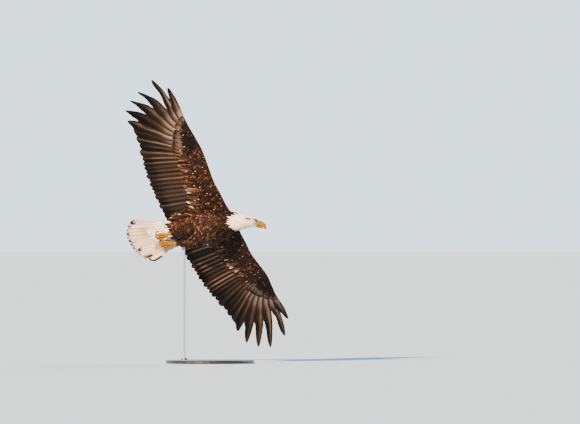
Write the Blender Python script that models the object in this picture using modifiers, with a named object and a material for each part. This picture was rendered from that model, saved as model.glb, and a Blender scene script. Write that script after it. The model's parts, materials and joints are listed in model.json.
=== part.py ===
"""Bald eagle banking in flight, life size, held by a museum stand.

The bird is modelled in its own level frame (x forward, y to its left, z up, origin between the wing
roots, metres) and hung from the empty "attitude", which banks it over the stand. The world's origin is the
centre of the underside of the stand's base.
"""

import math

import bmesh
import bpy
import numpy as np
from mathutils import Euler, Matrix, Vector

# ---------------------------------------------------------------- driving dimensions (metres and degrees)
BIRD_PLACE = (-0.030, 0.000, 0.800)  # the bird's origin, over the stand so that it balances
BANK = -50.0  # left wing down
PITCH = 10.1
HEADING = -24.4

GAP = 0.0004  # clearance between neighbouring solids
BODY_CLEARANCE = 0.0012  # and between the body and the wings, thighs and rod that are cut to fit it
VANE_THICKNESS = 0.0014
PRIMARIES = 10
FINGERS = 6  # outer primaries that stand apart at the wing tip
SECONDARIES = 15
RECTRICES = 12

BASE_RADIUS = 0.260
BASE_THICKNESS = 0.020
ROD_RADIUS = 0.006
ROD_PLACE = (-0.152, 0.085)
ROD_TOP = 0.735  # inside the trunk, before the trunk is cut away from it
COLLAR_RADIUS = 0.018
COLLAR_HEIGHT = 0.012

# Stations of the body from the tail coverts to the bill: the distance along it, its centre, how far it is
# turned to the left and rolled to the right, and its half width, rise above and drop below the centre.
BODY = (
    # along, x, y, z, turn, roll, half width, rise, drop
    (-0.285, -0.285, 0.000, 0.000, 0, 0, 0.114, 0.0060, 0.0080),
    (-0.240, -0.240, 0.000, 0.000, 0, 0, 0.100, 0.0150, 0.0190),
    (-0.200, -0.200, 0.000, 0.000, 0, 0, 0.089, 0.0250, 0.0320),
    (-0.140, -0.140, 0.000, 0.000, 0, 0, 0.085, 0.0400, 0.0560),
    (-0.075, -0.075, 0.000, 0.000, 0, 0, 0.091, 0.0530, 0.0800),
    (0.000, 0.000, 0.000, 0.000, 0, 0, 0.099, 0.0620, 0.1000),
    (0.065, 0.065, 0.000, 0.000, 0, 0, 0.102, 0.0660, 0.1040),
    (0.120, 0.120, 0.000, 0.002, 1, 0, 0.092, 0.0640, 0.0900),
    (0.165, 0.165, 0.001, 0.004, 6, -4, 0.072, 0.0580, 0.0680),
    (0.195, 0.194, 0.006, 0.005, 13, -12, 0.058, 0.0540, 0.0570),
    (0.225, 0.223, 0.014, 0.006, 20, -19, 0.048, 0.0480, 0.0490),
    (0.255, 0.251, 0.026, 0.010, 26, -26, 0.040, 0.0410, 0.0410),
    (0.280, 0.273, 0.038, 0.018, 30, -31, 0.034, 0.0350, 0.0330),
    (0.300, 0.290, 0.049, 0.023, 31, -32, 0.0305, 0.0295, 0.0275),
    (0.315, 0.303, 0.057, 0.024, 31, -32, 0.0245, 0.0245, 0.0245),
    (0.329, 0.315, 0.064, 0.023, 31, -32, 0.0165, 0.0195, 0.0225),
)
BODY_SIDES = 20
TAIL_COVERTS = (-0.285, -0.205)
TRUNK = (-0.205, 0.182)
NECK = (0.182, 0.262)
HEAD = (0.262, 0.329)

# Stations of a wing's fleshy part and coverts, from the body to the end of the hand: share of the arm,
# leading edge, rear edge of the coverts, and thickness.
ARM = (
    # share, lead x, lead y, rear x, rear y, thickness
    (0.00, 0.195, 0.040, -0.100, 0.050, 0.034),
    (0.10, 0.185, 0.100, -0.066, 0.105, 0.048),
    (0.25, 0.183, 0.190, -0.040, 0.200, 0.042),
    (0.40, 0.177, 0.290, -0.024, 0.295, 0.034),
    (0.55, 0.177, 0.390, -0.010, 0.390, 0.027),
    (0.70, 0.174, 0.495, 0.004, 0.485, 0.020),
    (0.80, 0.160, 0.575, 0.022, 0.555, 0.015),
    (0.90, 0.147, 0.645, 0.056, 0.628, 0.011),
    (1.00, 0.139, 0.700, 0.110, 0.694, 0.007),
)
ARM_SIDES = 12
UPPER_ARM = (0.00, 0.36)
FOREARM = (0.36, 0.70)
HAND = (0.70, 1.00)
REAR_THICKNESS = 0.005

# Middle surface of the wing along the span: its height over the bird's level plane at x = 0, and its rise
# per metre forward.
WING_SURFACE = (
    # y, height, rise
    (0.00, 0.024, 0.03),
    (0.15, 0.027, 0.03),
    (0.30, 0.038, 0.04),
    (0.40, 0.053, 0.11),
    (0.50, 0.069, 0.18),
    (0.60, 0.083, 0.25),
    (0.70, 0.099, 0.33),
    (0.80, 0.121, 0.42),
    (0.90, 0.136, 0.56),
    (1.00, 0.134, 0.60),
)
CAMBER = 0.35  # fall of the surface away from its crest, per square metre
CREST_X = 0.02

# Tips of the flight feathers, counted inwards from the outermost primary (0) over the secondaries.
TIPS = (
    # feather, x, y, lift over the wing surface
    (0, 0.110, 0.902, -0.011),
    (1, 0.054, 0.999, -0.010),
    (2, -0.017, 0.997, -0.056),
    (3, -0.077, 0.962, -0.042),
    (4, -0.130, 0.908, -0.021),
    (5, -0.155, 0.823, 0.003),
    (6, -0.156, 0.745, 0.006),
    (8, -0.164, 0.645, 0.004),
    (10, -0.180, 0.555, 0.000),
    (14, -0.200, 0.430, 0.000),
    (19, -0.211, 0.275, 0.000),
    (24, -0.210, 0.102, 0.000),
)

# Where the flight feathers leave the coverts, as a share of the arm. The ones before HAND_CORNER leave the
# end of the hand and the others its rear edge.
ROOTS = (
    # feather, share
    (-0.5, 1.000),
    (0.8, 1.000),
    (2.0, 0.955),
    (4.0, 0.895),
    (6.0, 0.832),
    (9.0, 0.735),
    (10.0, 0.700),
    (17.0, 0.408),
    (24.0, 0.094),
)
HAND_CORNER = 0.8
SHINGLE = 0.14  # rise of a vane towards its leading edge, as a share of its width
STEP = 0.0034  # step between neighbouring feathers of a joined row
ROW_COLUMNS = (0.02, 0.50, 0.98)  # across each feather of a wing's row, as a share of its width
ROW_ROWS = (0.012, 0.30, 0.65, 0.93, 1.0)  # along it

# Outer primaries: where each vane narrows into a finger as a share of its length, and the vanes' widths.
NOTCHES = (0.49, 0.28, 0.48, 0.56, 0.66, 0.80)
NOTCH_LENGTH = 0.035
TAPER_START = 0.68  # where a finger starts to close towards its tip
VANE_LEAD = 0.012
VANE_TRAIL_MOST = 0.046
FINGER_LEAD = 0.0105
FINGER_TRAILS = (0.018, 0.030, 0.030, 0.031, 0.036, 0.036)
FINGER_TRAIL_SHARE = 0.55  # the most that it takes of the room before the next shaft
VANE_TIP = 0.0008
FINGER_ROWS = np.array([0, 0.12, 0.26, 0.38, 0.48, 0.58, 0.70, 0.82, 0.93, 1.0])
TWIST = -0.25  # rise of a finger towards its leading edge, as a share of its width
TWIST_LATER = 0.20  # where a vane leaves the slope of the wing's surface for it, past its notch
LIFT_START = 0.20  # where a shaft starts to leave that surface, and how its lift grows to the tip
LIFT_POWER = 1.7
FINGER_START = 0.0016  # gap between the coverts and a primary
FINGER_ROOT = (-0.40, 0.0, 0.46)  # where a primary's columns leave the coverts, in feathers from its shaft

# Tail fan: the roots, tips and widths of the joined row of tail feathers.
TAIL_ROOT_X = -0.2865
TAIL_ROOT_HALF_WIDTH = 0.112
TAIL_MIDDLE_X = -0.496
TAIL_CORNER = (-0.405, 0.165)
TAIL_SAG = 0.012
TAIL_COLUMNS = (0.02, 0.34, 0.66, 0.98)
TAIL_ROWS = (0.0, 0.35, 0.70, 0.92, 1.0)


# ---------------------------------------------------------------- scene, materials and small helpers
def clear_scene():
    for obj in list(bpy.data.objects):
        bpy.data.objects.remove(obj)


def new_collection(name):
    collection = bpy.data.collections.new(name)
    bpy.context.scene.collection.children.link(collection)
    return collection


def new_material(name, colour, roughness, metallic=0.0):
    material = bpy.data.materials.new(name)
    material.use_nodes = True
    shader = material.node_tree.nodes["Principled BSDF"]
    shader.inputs["Base Color"].default_value = (*colour, 1.0)
    shader.inputs["Roughness"].default_value = roughness
    shader.inputs["Metallic"].default_value = metallic
    return material


clear_scene()
EAGLE = new_collection("bald_eagle")
CUTTERS = new_collection("cutters")
BROWN = new_material("brown_plumage", (0.060, 0.030, 0.016), 0.75)
FLIGHT_BROWN = new_material("flight_feathers", (0.075, 0.048, 0.034), 0.60)
WHITE = new_material("white_plumage", (0.86, 0.79, 0.71), 0.75)
BILL_YELLOW = new_material("bill_horn", (0.90, 0.50, 0.03), 0.35)
SKIN_YELLOW = new_material("foot_skin", (0.86, 0.55, 0.09), 0.50)
CLAW_BLACK = new_material("claw_horn", (0.012, 0.011, 0.010), 0.30)
IRIS = new_material("eye", (0.70, 0.55, 0.20), 0.10)
STEEL = new_material("stand_steel", (0.30, 0.30, 0.31), 0.35, 1.0)
PLINTH = new_material("stand_plinth", (0.035, 0.035, 0.038), 0.45)

ATTITUDE = bpy.data.objects.new("attitude", None)
ATTITUDE.location = BIRD_PLACE
ATTITUDE.rotation_euler = Euler([math.radians(a) for a in (BANK, -PITCH, HEADING)])
EAGLE.objects.link(ATTITUDE)


def add_object(name, mesh, material, on_bird=True, collection=None):
    obj = bpy.data.objects.new(name, mesh)
    (collection or EAGLE).objects.link(obj)
    mesh.materials.append(material)
    if on_bird:
        obj.parent = ATTITUDE
    return obj


def add_cutter(name, mesh):
    obj = add_object(name, mesh, STEEL, collection=CUTTERS)
    obj.hide_render = True
    obj.display_type = "WIRE"
    return obj


def cut(obj, cutter):
    boolean = obj.modifiers.new("cut_by_" + cutter.name, "BOOLEAN")
    boolean.operation = "DIFFERENCE"
    boolean.object = cutter


def smooth(mesh, angle=math.radians(40)):
    mesh.shade_smooth()
    mesh.set_sharp_from_angle(angle=angle)
    return mesh


def through(rows, at):
    """Smooth curve through rows keyed by their first column (Catmull-Rom tangents), read at these keys."""
    rows = np.array(rows, float)
    keys, values = rows[:, 0], rows[:, 1:]
    slopes = np.gradient(values, keys, axis=0)
    at = np.atleast_1d(np.asarray(at, float))
    i = np.clip(np.searchsorted(keys, at) - 1, 0, len(keys) - 2)
    step = (keys[i + 1] - keys[i])[:, None]
    t = ((at - keys[i])[:, None]) / step
    return (
        values[i] * (2 * t**3 - 3 * t**2 + 1)
        + slopes[i] * step * (t**3 - 2 * t**2 + t)
        + values[i + 1] * (3 * t**2 - 2 * t**3)
        + slopes[i + 1] * step * (t**3 - t**2)
    )


def loft(name, rings):
    """Closed mesh through a stack of rings with the same number of points, capped at both ends."""
    rings = np.asarray(rings, float)
    rows, sides = rings.shape[:2]
    verts = rings.reshape(-1, 3).tolist()
    faces = [
        (r * sides + s, r * sides + (s + 1) % sides, (r + 1) * sides + (s + 1) % sides, (r + 1) * sides + s)
        for r in range(rows - 1)
        for s in range(sides)
    ]
    faces.append(tuple(range(sides)))
    faces.append(tuple((rows - 1) * sides + s for s in range(sides)))
    mesh = bpy.data.meshes.new(name)
    mesh.from_pydata(verts, [], faces)
    face_outwards(mesh)
    return smooth(mesh)


def face_outwards(mesh):
    bm = bmesh.new()
    bm.from_mesh(mesh)
    bmesh.ops.recalc_face_normals(bm, faces=bm.faces)
    bm.to_mesh(mesh)
    bm.free()


def sheet(name, grid):
    """Open surface over a grid of points, for a Solidify modifier."""
    grid = np.asarray(grid, float)
    rows, columns = grid.shape[:2]
    faces = [
        (r * columns + c, r * columns + c + 1, (r + 1) * columns + c + 1, (r + 1) * columns + c)
        for r in range(rows - 1)
        for c in range(columns - 1)
    ]
    mesh = bpy.data.meshes.new(name)
    mesh.from_pydata(grid.reshape(-1, 3).tolist(), [], faces)
    return smooth(mesh)


def thicken(obj, thickness):
    solidify = obj.modifiers.new("thickness", "SOLIDIFY")
    solidify.thickness = thickness
    solidify.offset = 0.0
    return obj


# ---------------------------------------------------------------- body
def body_frames(along):
    """Centres, and the left and up axes, of the body's cross-sections at these distances."""
    at = through(BODY, along)
    turn, roll = np.radians(at[:, 3]), np.radians(at[:, 4])
    forward = np.stack([np.cos(turn), np.sin(turn), 0 * turn], 1)
    level = np.stack([-np.sin(turn), np.cos(turn), 0 * turn], 1)
    up = np.cross(forward, level)
    left = level * np.cos(roll)[:, None] - up * np.sin(roll)[:, None]
    return at[:, :3], left, np.cross(forward, left), at[:, 5:8]


def body_rings(along, grow=0.0):
    centre, left, up, size = body_frames(along)
    angle = np.linspace(0, 2 * math.pi, BODY_SIDES, endpoint=False)
    across = (size[:, 0:1] + grow) * np.cos(angle)
    height = np.where(np.sin(angle) > 0, size[:, 1:2] + grow, size[:, 2:3] + grow) * np.sin(angle)
    return centre[:, None] + across[..., None] * left[:, None] + height[..., None] * up[:, None]


def build_body():
    """The body's lengths, and a cutter a little larger that keeps what meets the body clear of it."""
    stations = []
    for name, (start, end), count, material in (
        ("tail_coverts", TAIL_COVERTS, 5, WHITE),
        ("trunk", TRUNK, 13, BROWN),
        ("neck", NECK, 6, WHITE),
        ("head", HEAD, 7, WHITE),
    ):
        along = np.linspace(start + GAP / 2, end - GAP / 2, count)
        add_object(name, loft(name, body_rings(along)), material)
        stations.extend(along)
    return add_cutter("body_cutter", loft("body_cutter", body_rings(stations, grow=BODY_CLEARANCE)))


# ---------------------------------------------------------------- wings
def wing_height(x, y):
    surface = through(WING_SURFACE, np.ravel(np.abs(y)))
    height, rise = surface[:, 0].reshape(np.shape(y)), surface[:, 1].reshape(np.shape(y))
    return height + rise * x - CAMBER * (x - CREST_X) ** 2


def mirrored(points, side):
    """Points of the left wing or leg, mirrored for the right one (side -1)."""
    return np.asarray(points, float) * (1.0, side, 1.0)


def arm_rings(start, end, count):
    at = through(ARM, np.linspace(start, end, count))
    angle = np.linspace(0, 2 * math.pi, ARM_SIDES, endpoint=False)
    share = 0.5 * (1 - np.cos(angle))  # 0 at the leading edge, 1 at the rear
    bulge = 1.3 * np.sqrt(share) * (1 - share) ** 0.8
    x = at[:, 0:1] + (at[:, 2:3] - at[:, 0:1]) * share
    y = at[:, 1:2] + (at[:, 3:4] - at[:, 1:2]) * share
    rear = REAR_THICKNESS * 0.5 * np.minimum(1, at[:, 4:5] / 0.015)
    half = at[:, 4:5] * bulge + rear * share
    half = np.maximum(half, 0.0007 * (share > 0))
    z = wing_height(x, y) + np.sign(np.sin(angle)) * np.where(np.abs(np.sin(angle)) < 1e-9, 0, half)
    return np.stack([x, y, z], 2)


def feather_root(feather):
    """Where flight feather number (0 is the outermost primary) leaves the coverts."""
    feather = np.atleast_1d(np.asarray(feather, float))
    at = through(ARM, np.minimum(through(ROOTS, feather)[:, 0], 1.0))
    forward = np.clip((HAND_CORNER - feather) / (HAND_CORNER + 0.5), 0, 1)
    x = at[:, 2] + (at[:, 0] - at[:, 2]) * forward
    y = at[:, 3] + (at[:, 1] - at[:, 3]) * forward
    return np.stack([x, y, wing_height(x, y)], 1)


def flight_feather(feather, t):
    """Points at the shares t of these feathers' shafts: straight in plan, lifted over the wing's surface."""
    root, tip = feather_root(feather), through(TIPS, feather)
    x = root[:, 0] + (tip[:, 0] - root[:, 0]) * t
    y = root[:, 1] + (tip[:, 1] - root[:, 1]) * t
    lift = tip[:, 2] * (np.maximum(0, t - LIFT_START) / (1 - LIFT_START)) ** LIFT_POWER
    return np.stack([x, y, wing_height(x, y) + lift], 1)


def finger_grid(feather):
    """Grid of one outer primary: rows from root to tip; columns at leading edge, shaft and trailing edge."""
    t = FINGER_ROWS
    shaft = np.concatenate([flight_feather(feather, v) for v in t])
    behind_it = np.concatenate([flight_feather(feather + 1, v) for v in t])
    axis = (shaft[-1] - shaft[0]) / np.linalg.norm(shaft[-1] - shaft[0])
    lead = np.array([axis[1], -axis[0], 0.0]) / np.hypot(axis[0], axis[1])
    spread = np.minimum((shaft - behind_it) @ lead, VANE_TRAIL_MOST)
    past = (t - NOTCHES[feather]) / NOTCH_LENGTH
    notch, free = (1 / (1 + np.exp(past - later / NOTCH_LENGTH)) for later in (0.0, TWIST_LATER))
    taper = np.clip(1 - np.maximum(0, (t - TAPER_START) / (1 - TAPER_START)) ** 2, 0, 1) ** 0.6
    ahead = (FINGER_LEAD + (VANE_LEAD - FINGER_LEAD) * notch) * taper
    finger = np.minimum(FINGER_TRAILS[feather], FINGER_TRAIL_SHARE * spread)
    behind = (finger + (spread - finger) * notch) * taper
    starts = feather_root(feather + np.array(FINGER_ROOT)) + axis * FINGER_START
    blend = np.minimum(1, t / FINGER_ROWS[1])[:, None]
    grid = []
    for start, offset in zip(starts, (ahead + VANE_TIP, 0 * t, -behind - VANE_TIP)):
        vane = shaft + lead * offset[:, None]
        lean = wing_height(vane[:, 0], vane[:, 1]) - wing_height(shaft[:, 0], shaft[:, 1])
        vane[:, 2] += lean * free + TWIST * offset * (1 - free)
        column = start * (1 - blend) + vane * blend
        column[:, 2] += SHINGLE * offset * free
        grid.append(column)
    return np.stack(grid, 1)


def row_grid(first, last):
    """Grid of a joined row of flight feathers, with a step between neighbours and a scalloped rear edge."""
    feather = np.concatenate([f - 0.5 + np.array(ROW_COLUMNS) for f in range(first, last + 1)])
    place = np.tile(np.array(ROW_COLUMNS), last + 1 - first)
    length = 1 - 0.07 * np.abs(2 * place - 1) ** 2.2
    rows = []
    for v in ROW_ROWS:
        line = flight_feather(feather, v * length)
        line[:, 2] += STEP * (0.5 - place) * min(1, 0.35 + 2 * v)
        rows.append(line)
    return np.stack(rows, 0)


def build_wing(side, word, body_cutter):
    for name, (start, end), count in (
        ("upper_arm", UPPER_ARM, 6),
        ("forearm", FOREARM, 5),
        ("hand", HAND, 5),
    ):
        rings = mirrored(arm_rings(start + 0.0006, end - 0.0006, count), side)
        full = f"wing_{word}_{name}"
        obj = add_object(full, loft(full, rings), BROWN)
        if name == "upper_arm":
            cut(obj, body_cutter)
    for feather in range(FINGERS):
        full = f"wing_{word}_primary_{PRIMARIES - feather:02d}"
        vane = sheet(full, mirrored(finger_grid(feather), side))
        thicken(add_object(full, vane, FLIGHT_BROWN), VANE_THICKNESS)
    for name, first, last in (
        ("inner_primaries", FINGERS, PRIMARIES - 1),
        ("secondaries", PRIMARIES, PRIMARIES + SECONDARIES - 1),
    ):
        full = f"wing_{word}_{name}"
        row = add_object(full, sheet(full, mirrored(row_grid(first, last), side)), FLIGHT_BROWN)
        thicken(row, VANE_THICKNESS)
        if name == "secondaries":
            cut(row, body_cutter)


# ---------------------------------------------------------------- tail
def tail_grid():
    """Grid of the tail fan, right to left, with a step between neighbouring feathers and rounded tips."""
    feather = np.concatenate([f + np.array(TAIL_COLUMNS) for f in range(RECTRICES)])
    place = np.tile(np.array(TAIL_COLUMNS), RECTRICES)
    across = 2 * feather / RECTRICES - 1  # -1 at the right edge, 1 at the left
    root = np.stack([0 * across + TAIL_ROOT_X, TAIL_ROOT_HALF_WIDTH * across, 0 * across], 1)
    reach = TAIL_MIDDLE_X + (TAIL_CORNER[0] - TAIL_MIDDLE_X) * np.abs(across) ** 2.4
    tip = np.stack([reach, TAIL_CORNER[1] * across, 0 * across], 1)
    length = 1 - 0.10 * np.abs(2 * place - 1) ** 2.2
    rows = []
    for v in TAIL_ROWS:
        line = root + (tip - root) * (v * length)[:, None]
        line[:, 1] += 0.008 * across * math.sin(math.pi * v)
        line[:, 2] = -TAIL_SAG * v - STEP * (0.5 - place) * np.sign(across)
        rows.append(line)
    return np.stack(rows, 0)


def build_tail():
    fan = sheet("tail_feathers", tail_grid())
    thicken(add_object("tail_feathers", fan, WHITE), VANE_THICKNESS)


# ---------------------------------------------------------------- head: bill and eyes
BILL_BASE = 0.329  # distance along the body
CERE = (0.012, 0.24)  # share of the upper bill's length
UPPER_BILL = (
    # share, forward, up, half width, half height
    (0.00, 0.0000, 0.0040, 0.0146, 0.0150),
    (0.22, 0.0130, 0.0040, 0.0125, 0.0144),
    (0.45, 0.0260, 0.0020, 0.0103, 0.0136),
    (0.65, 0.0370, -0.0030, 0.0082, 0.0120),
    (0.80, 0.0437, -0.0100, 0.0062, 0.0095),
    (0.92, 0.0470, -0.0180, 0.0040, 0.0062),
    (1.00, 0.0475, -0.0255, 0.0014, 0.0020),
)
LOWER_BILL = (
    # share, forward, up, half width, half height
    (0.00, 0.000, -0.0172, 0.0124, 0.0055),
    (0.40, 0.014, -0.0174, 0.0100, 0.0055),
    (0.75, 0.026, -0.0190, 0.0072, 0.0048),
    (1.00, 0.036, -0.0222, 0.0038, 0.0028),
)
BILL_SIDES = 12
EYE_BACK = 0.021
EYE_OUT = 0.0190
EYE_UP = 0.0055
EYE_RADIUS = 0.0095


def head_axes():
    """Origin at the bill's base, and the forward, left and up axes of the head."""
    centre, left, up, _ = body_frames([BILL_BASE])
    return centre[0], np.cross(left[0], up[0]), left[0], up[0]


def bill_rings(rows, start, end, count):
    """Rings square to the bill's own bent centreline."""
    origin, forward, left, up = head_axes()
    share = np.linspace(start, end, count)
    at = through(rows, share)
    ahead = through(rows, np.minimum(share + 0.01, 1.0)) - through(rows, np.maximum(share - 0.01, 0.0))
    run = ahead[:, :2] / np.linalg.norm(ahead[:, :2], axis=1)[:, None]
    angle = np.linspace(0, 2 * math.pi, BILL_SIDES, endpoint=False)
    centre = origin + at[:, 0:1] * forward + at[:, 1:2] * up
    rise = -run[:, 1:2] * forward + run[:, 0:1] * up
    across = at[:, 2:3] * np.cos(angle)
    height = at[:, 3:4] * np.sin(angle)
    return centre[:, None] + across[..., None] * left + height[..., None] * rise[:, None]


def build_bill():
    for name, rows, start, end, count, material in (
        ("cere", UPPER_BILL, *CERE, 3, SKIN_YELLOW),
        ("bill_upper", UPPER_BILL, CERE[1] + CERE[0], 1.0, 7, BILL_YELLOW),
        ("bill_lower", LOWER_BILL, CERE[0], 1.0, 5, BILL_YELLOW),
    ):
        add_object(name, loft(name, bill_rings(rows, start, end, count)), material)


def build_eyes():
    origin, forward, left, up = head_axes()
    head = bpy.data.objects["head"]
    for side, word in ((1, "left"), (-1, "right")):
        centre = origin - EYE_BACK * forward + side * EYE_OUT * left + EYE_UP * up
        for name, radius in ((f"eye_{word}", EYE_RADIUS), (f"eye_{word}_socket", EYE_RADIUS + GAP)):
            bm = bmesh.new()
            turn = Vector(side * left).to_track_quat("Z", "Y").to_matrix().to_4x4()
            place = Matrix.Translation(centre) @ turn
            bmesh.ops.create_uvsphere(bm, u_segments=12, v_segments=8, radius=radius, matrix=place)
            mesh = bpy.data.meshes.new(name)
            bm.to_mesh(mesh)
            bm.free()
            if name.endswith("socket"):
                cut(head, add_cutter(name, mesh))
            else:
                add_object(name, smooth(mesh), IRIS)


# ---------------------------------------------------------------- legs
LEG_SIDES = 12
THIGH_ROWS = (
    # share, x, y, z, half width, half height
    (0.00, -0.020, 0.050, -0.045, 0.034, 0.034),
    (0.30, -0.065, 0.049, -0.058, 0.036, 0.035),
    (0.60, -0.110, 0.047, -0.061, 0.031, 0.029),
    (0.85, -0.150, 0.043, -0.058, 0.021, 0.020),
    (1.00, -0.172, 0.041, -0.055, 0.014, 0.013),
)
TARSUS_ROWS = (
    # share, x, y, z, half width, half height
    (0.00, -0.1725, 0.041, -0.055, 0.0095, 0.0095),
    (0.40, -0.200, 0.037, -0.052, 0.0082, 0.0086),
    (0.75, -0.228, 0.033, -0.049, 0.0105, 0.0092),
    (0.92, -0.243, 0.031, -0.047, 0.0155, 0.0115),
    (1.00, -0.251, 0.030, -0.046, 0.0155, 0.0110),
)
TOE_START_X = -0.2516
TOE_RADIUS = 0.0068
HIND_TOE_RADIUS = 0.0054
CLAW_LENGTH = 0.023
TOES = (
    # name, sideways offset, height offset, length scale, sideways splay
    ("inner", -0.0145, -0.002, 0.88, -0.003),
    ("middle", 0.0000, -0.003, 1.00, 0.000),
    ("outer", 0.0145, -0.002, 0.86, 0.003),
)


def leg_rings(rows, count, side):
    at = through(rows, np.linspace(0, 1, count))
    angle = np.linspace(0, 2 * math.pi, LEG_SIDES, endpoint=False)
    x = at[:, 0:1] + 0 * angle
    y = side * (at[:, 1:2] + at[:, 3:4] * np.cos(angle))
    z = at[:, 2:3] + at[:, 4:5] * np.sin(angle)
    return np.stack([x, y, z], 2)


def toe_path(foot_y, out, height, scale, splay):
    """Curled front toe, from the ball of the foot back and up towards the tail."""
    curl = ((0.000, 0.000), (0.014, 0.000), (0.032, -0.001), (0.048, 0.003), (0.055, 0.012), (0.053, 0.022))
    outwards = (0, 0, 0.2, 0.5, 0.8, 1)
    start = Vector((TOE_START_X, foot_y + out, TARSUS_ROWS[-1][3] + height))
    return [start + Vector((-b * scale, splay * o, r * scale)) for (b, r), o in zip(curl, outwards)]


def hind_toe_path(foot_y):
    """Hind toe, from the top of the foot back over the front ones."""
    curl = ((0.000, 0.000), (0.000, 0.004), (0.007, 0.0095), (0.018, 0.0105), (0.028, 0.0095))
    _, x, _, z, _, half_height = TARSUS_ROWS[-2]
    start = Vector((x, foot_y, z + half_height + GAP))
    return [start + Vector((-back, 0, rise)) for back, rise in curl]


def tube(name, points, radii, material, resolution=1):
    """Mesh of a round tapering tube through the points, with its caps welded."""
    curve = bpy.data.curves.new(name, "CURVE")
    curve.dimensions = "3D"
    curve.bevel_depth = 1.0
    curve.bevel_resolution = resolution
    curve.use_fill_caps = True
    spline = curve.splines.new("POLY")
    spline.points.add(len(points) - 1)
    for point, place, radius in zip(spline.points, points, radii):
        point.co = (*place, 1.0)
        point.radius = radius
    guide = bpy.data.objects.new(name + "_guide", curve)
    CUTTERS.objects.link(guide)
    graph = bpy.context.evaluated_depsgraph_get()
    mesh = bpy.data.meshes.new_from_object(guide.evaluated_get(graph))
    bpy.data.objects.remove(guide)
    mesh.materials.clear()
    bm = bmesh.new()
    bm.from_mesh(mesh)
    bmesh.ops.remove_doubles(bm, verts=bm.verts, dist=1e-5)
    bmesh.ops.recalc_face_normals(bm, faces=bm.faces)
    bm.to_mesh(mesh)
    bm.free()
    mesh.name = name
    return add_object(name, smooth(mesh), material)


def build_toe(word, name, path, radius, claw_curl):
    """A toe, and the claw that carries on from its tip and bends towards the direction claw_curl."""
    taper = np.linspace(1.0, 0.75, len(path))
    tube(f"toe_{word}_{name}", path, radius * taper, SKIN_YELLOW)
    heading = (path[-1] - path[-2]).normalized()
    place = path[-1] + heading * GAP * 1.5
    claw = []
    for turn in (0.0, 0.35, 0.7, 1.05, 1.35):
        claw.append(place.copy())
        place += (heading * math.cos(turn) + claw_curl * math.sin(turn)) * CLAW_LENGTH / 4
    tube(f"claw_{word}_{name}", claw, [0.0044, 0.0041, 0.0032, 0.0020, 0.0006], CLAW_BLACK)


def build_leg(side, word, body_cutter):
    thigh = add_object(f"thigh_{word}", loft(f"thigh_{word}", leg_rings(THIGH_ROWS, 7, side)), BROWN)
    cut(thigh, body_cutter)
    tarsus = loft(f"tarsus_{word}", leg_rings(TARSUS_ROWS, 6, side))
    add_object(f"tarsus_{word}", tarsus, SKIN_YELLOW)
    foot_y = side * TARSUS_ROWS[-1][2]
    for name, out, height, scale, splay in TOES:
        path = toe_path(foot_y, side * out, height, scale, side * splay)
        build_toe(word, name, path, TOE_RADIUS, Vector((1, 0, 0)))
    build_toe(word, "hind", hind_toe_path(foot_y), HIND_TOE_RADIUS, Vector((0, 0, -1)))


# ---------------------------------------------------------------- stand
def cylinder(name, radius, bottom, top, place, segments, material, bevel=0.0):
    bm = bmesh.new()
    middle = Matrix.Translation((*place, (bottom + top) / 2))
    sizes = {"radius1": radius, "radius2": radius, "depth": top - bottom}
    bmesh.ops.create_cone(bm, cap_ends=True, segments=segments, matrix=middle, **sizes)
    mesh = bpy.data.meshes.new(name)
    bm.to_mesh(mesh)
    bm.free()
    obj = add_object(name, smooth(mesh), material, on_bird=False)
    if bevel:
        rounding = obj.modifiers.new("rounded_edges", "BEVEL")
        rounding.width = bevel
        rounding.segments = 1
        rounding.limit_method = "ANGLE"
    return obj


def build_stand(body_cutter):
    foot = BASE_THICKNESS + GAP
    collar = foot + COLLAR_HEIGHT
    cylinder("stand_base", BASE_RADIUS, 0.0, BASE_THICKNESS, (0.0, 0.0), 36, PLINTH, bevel=0.004)
    cylinder("stand_collar", COLLAR_RADIUS, foot, collar, ROD_PLACE, 20, STEEL, bevel=0.002)
    rod = cylinder("stand_rod", ROD_RADIUS, collar + GAP, ROD_TOP, ROD_PLACE, 12, STEEL)
    cut(rod, body_cutter)


def main():
    body_cutter = build_body()
    build_bill()
    build_eyes()
    build_tail()
    for side, word in ((1, "left"), (-1, "right")):
        build_wing(side, word, body_cutter)
        build_leg(side, word, body_cutter)
    build_stand(body_cutter)


main()
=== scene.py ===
# %% [markdown]
# # A bald eagle banking in flight, as a life-size still model
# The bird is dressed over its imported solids. One skin takes the place of the fleshy solids, and every
# feather is a thin closed vane that lies on it. The vanes are worked out with numpy, because a bird has
# thousands of feathers that all follow a few rules: where they root, which way they lie, and how their
# size changes over the body.

import json
import math

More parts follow.
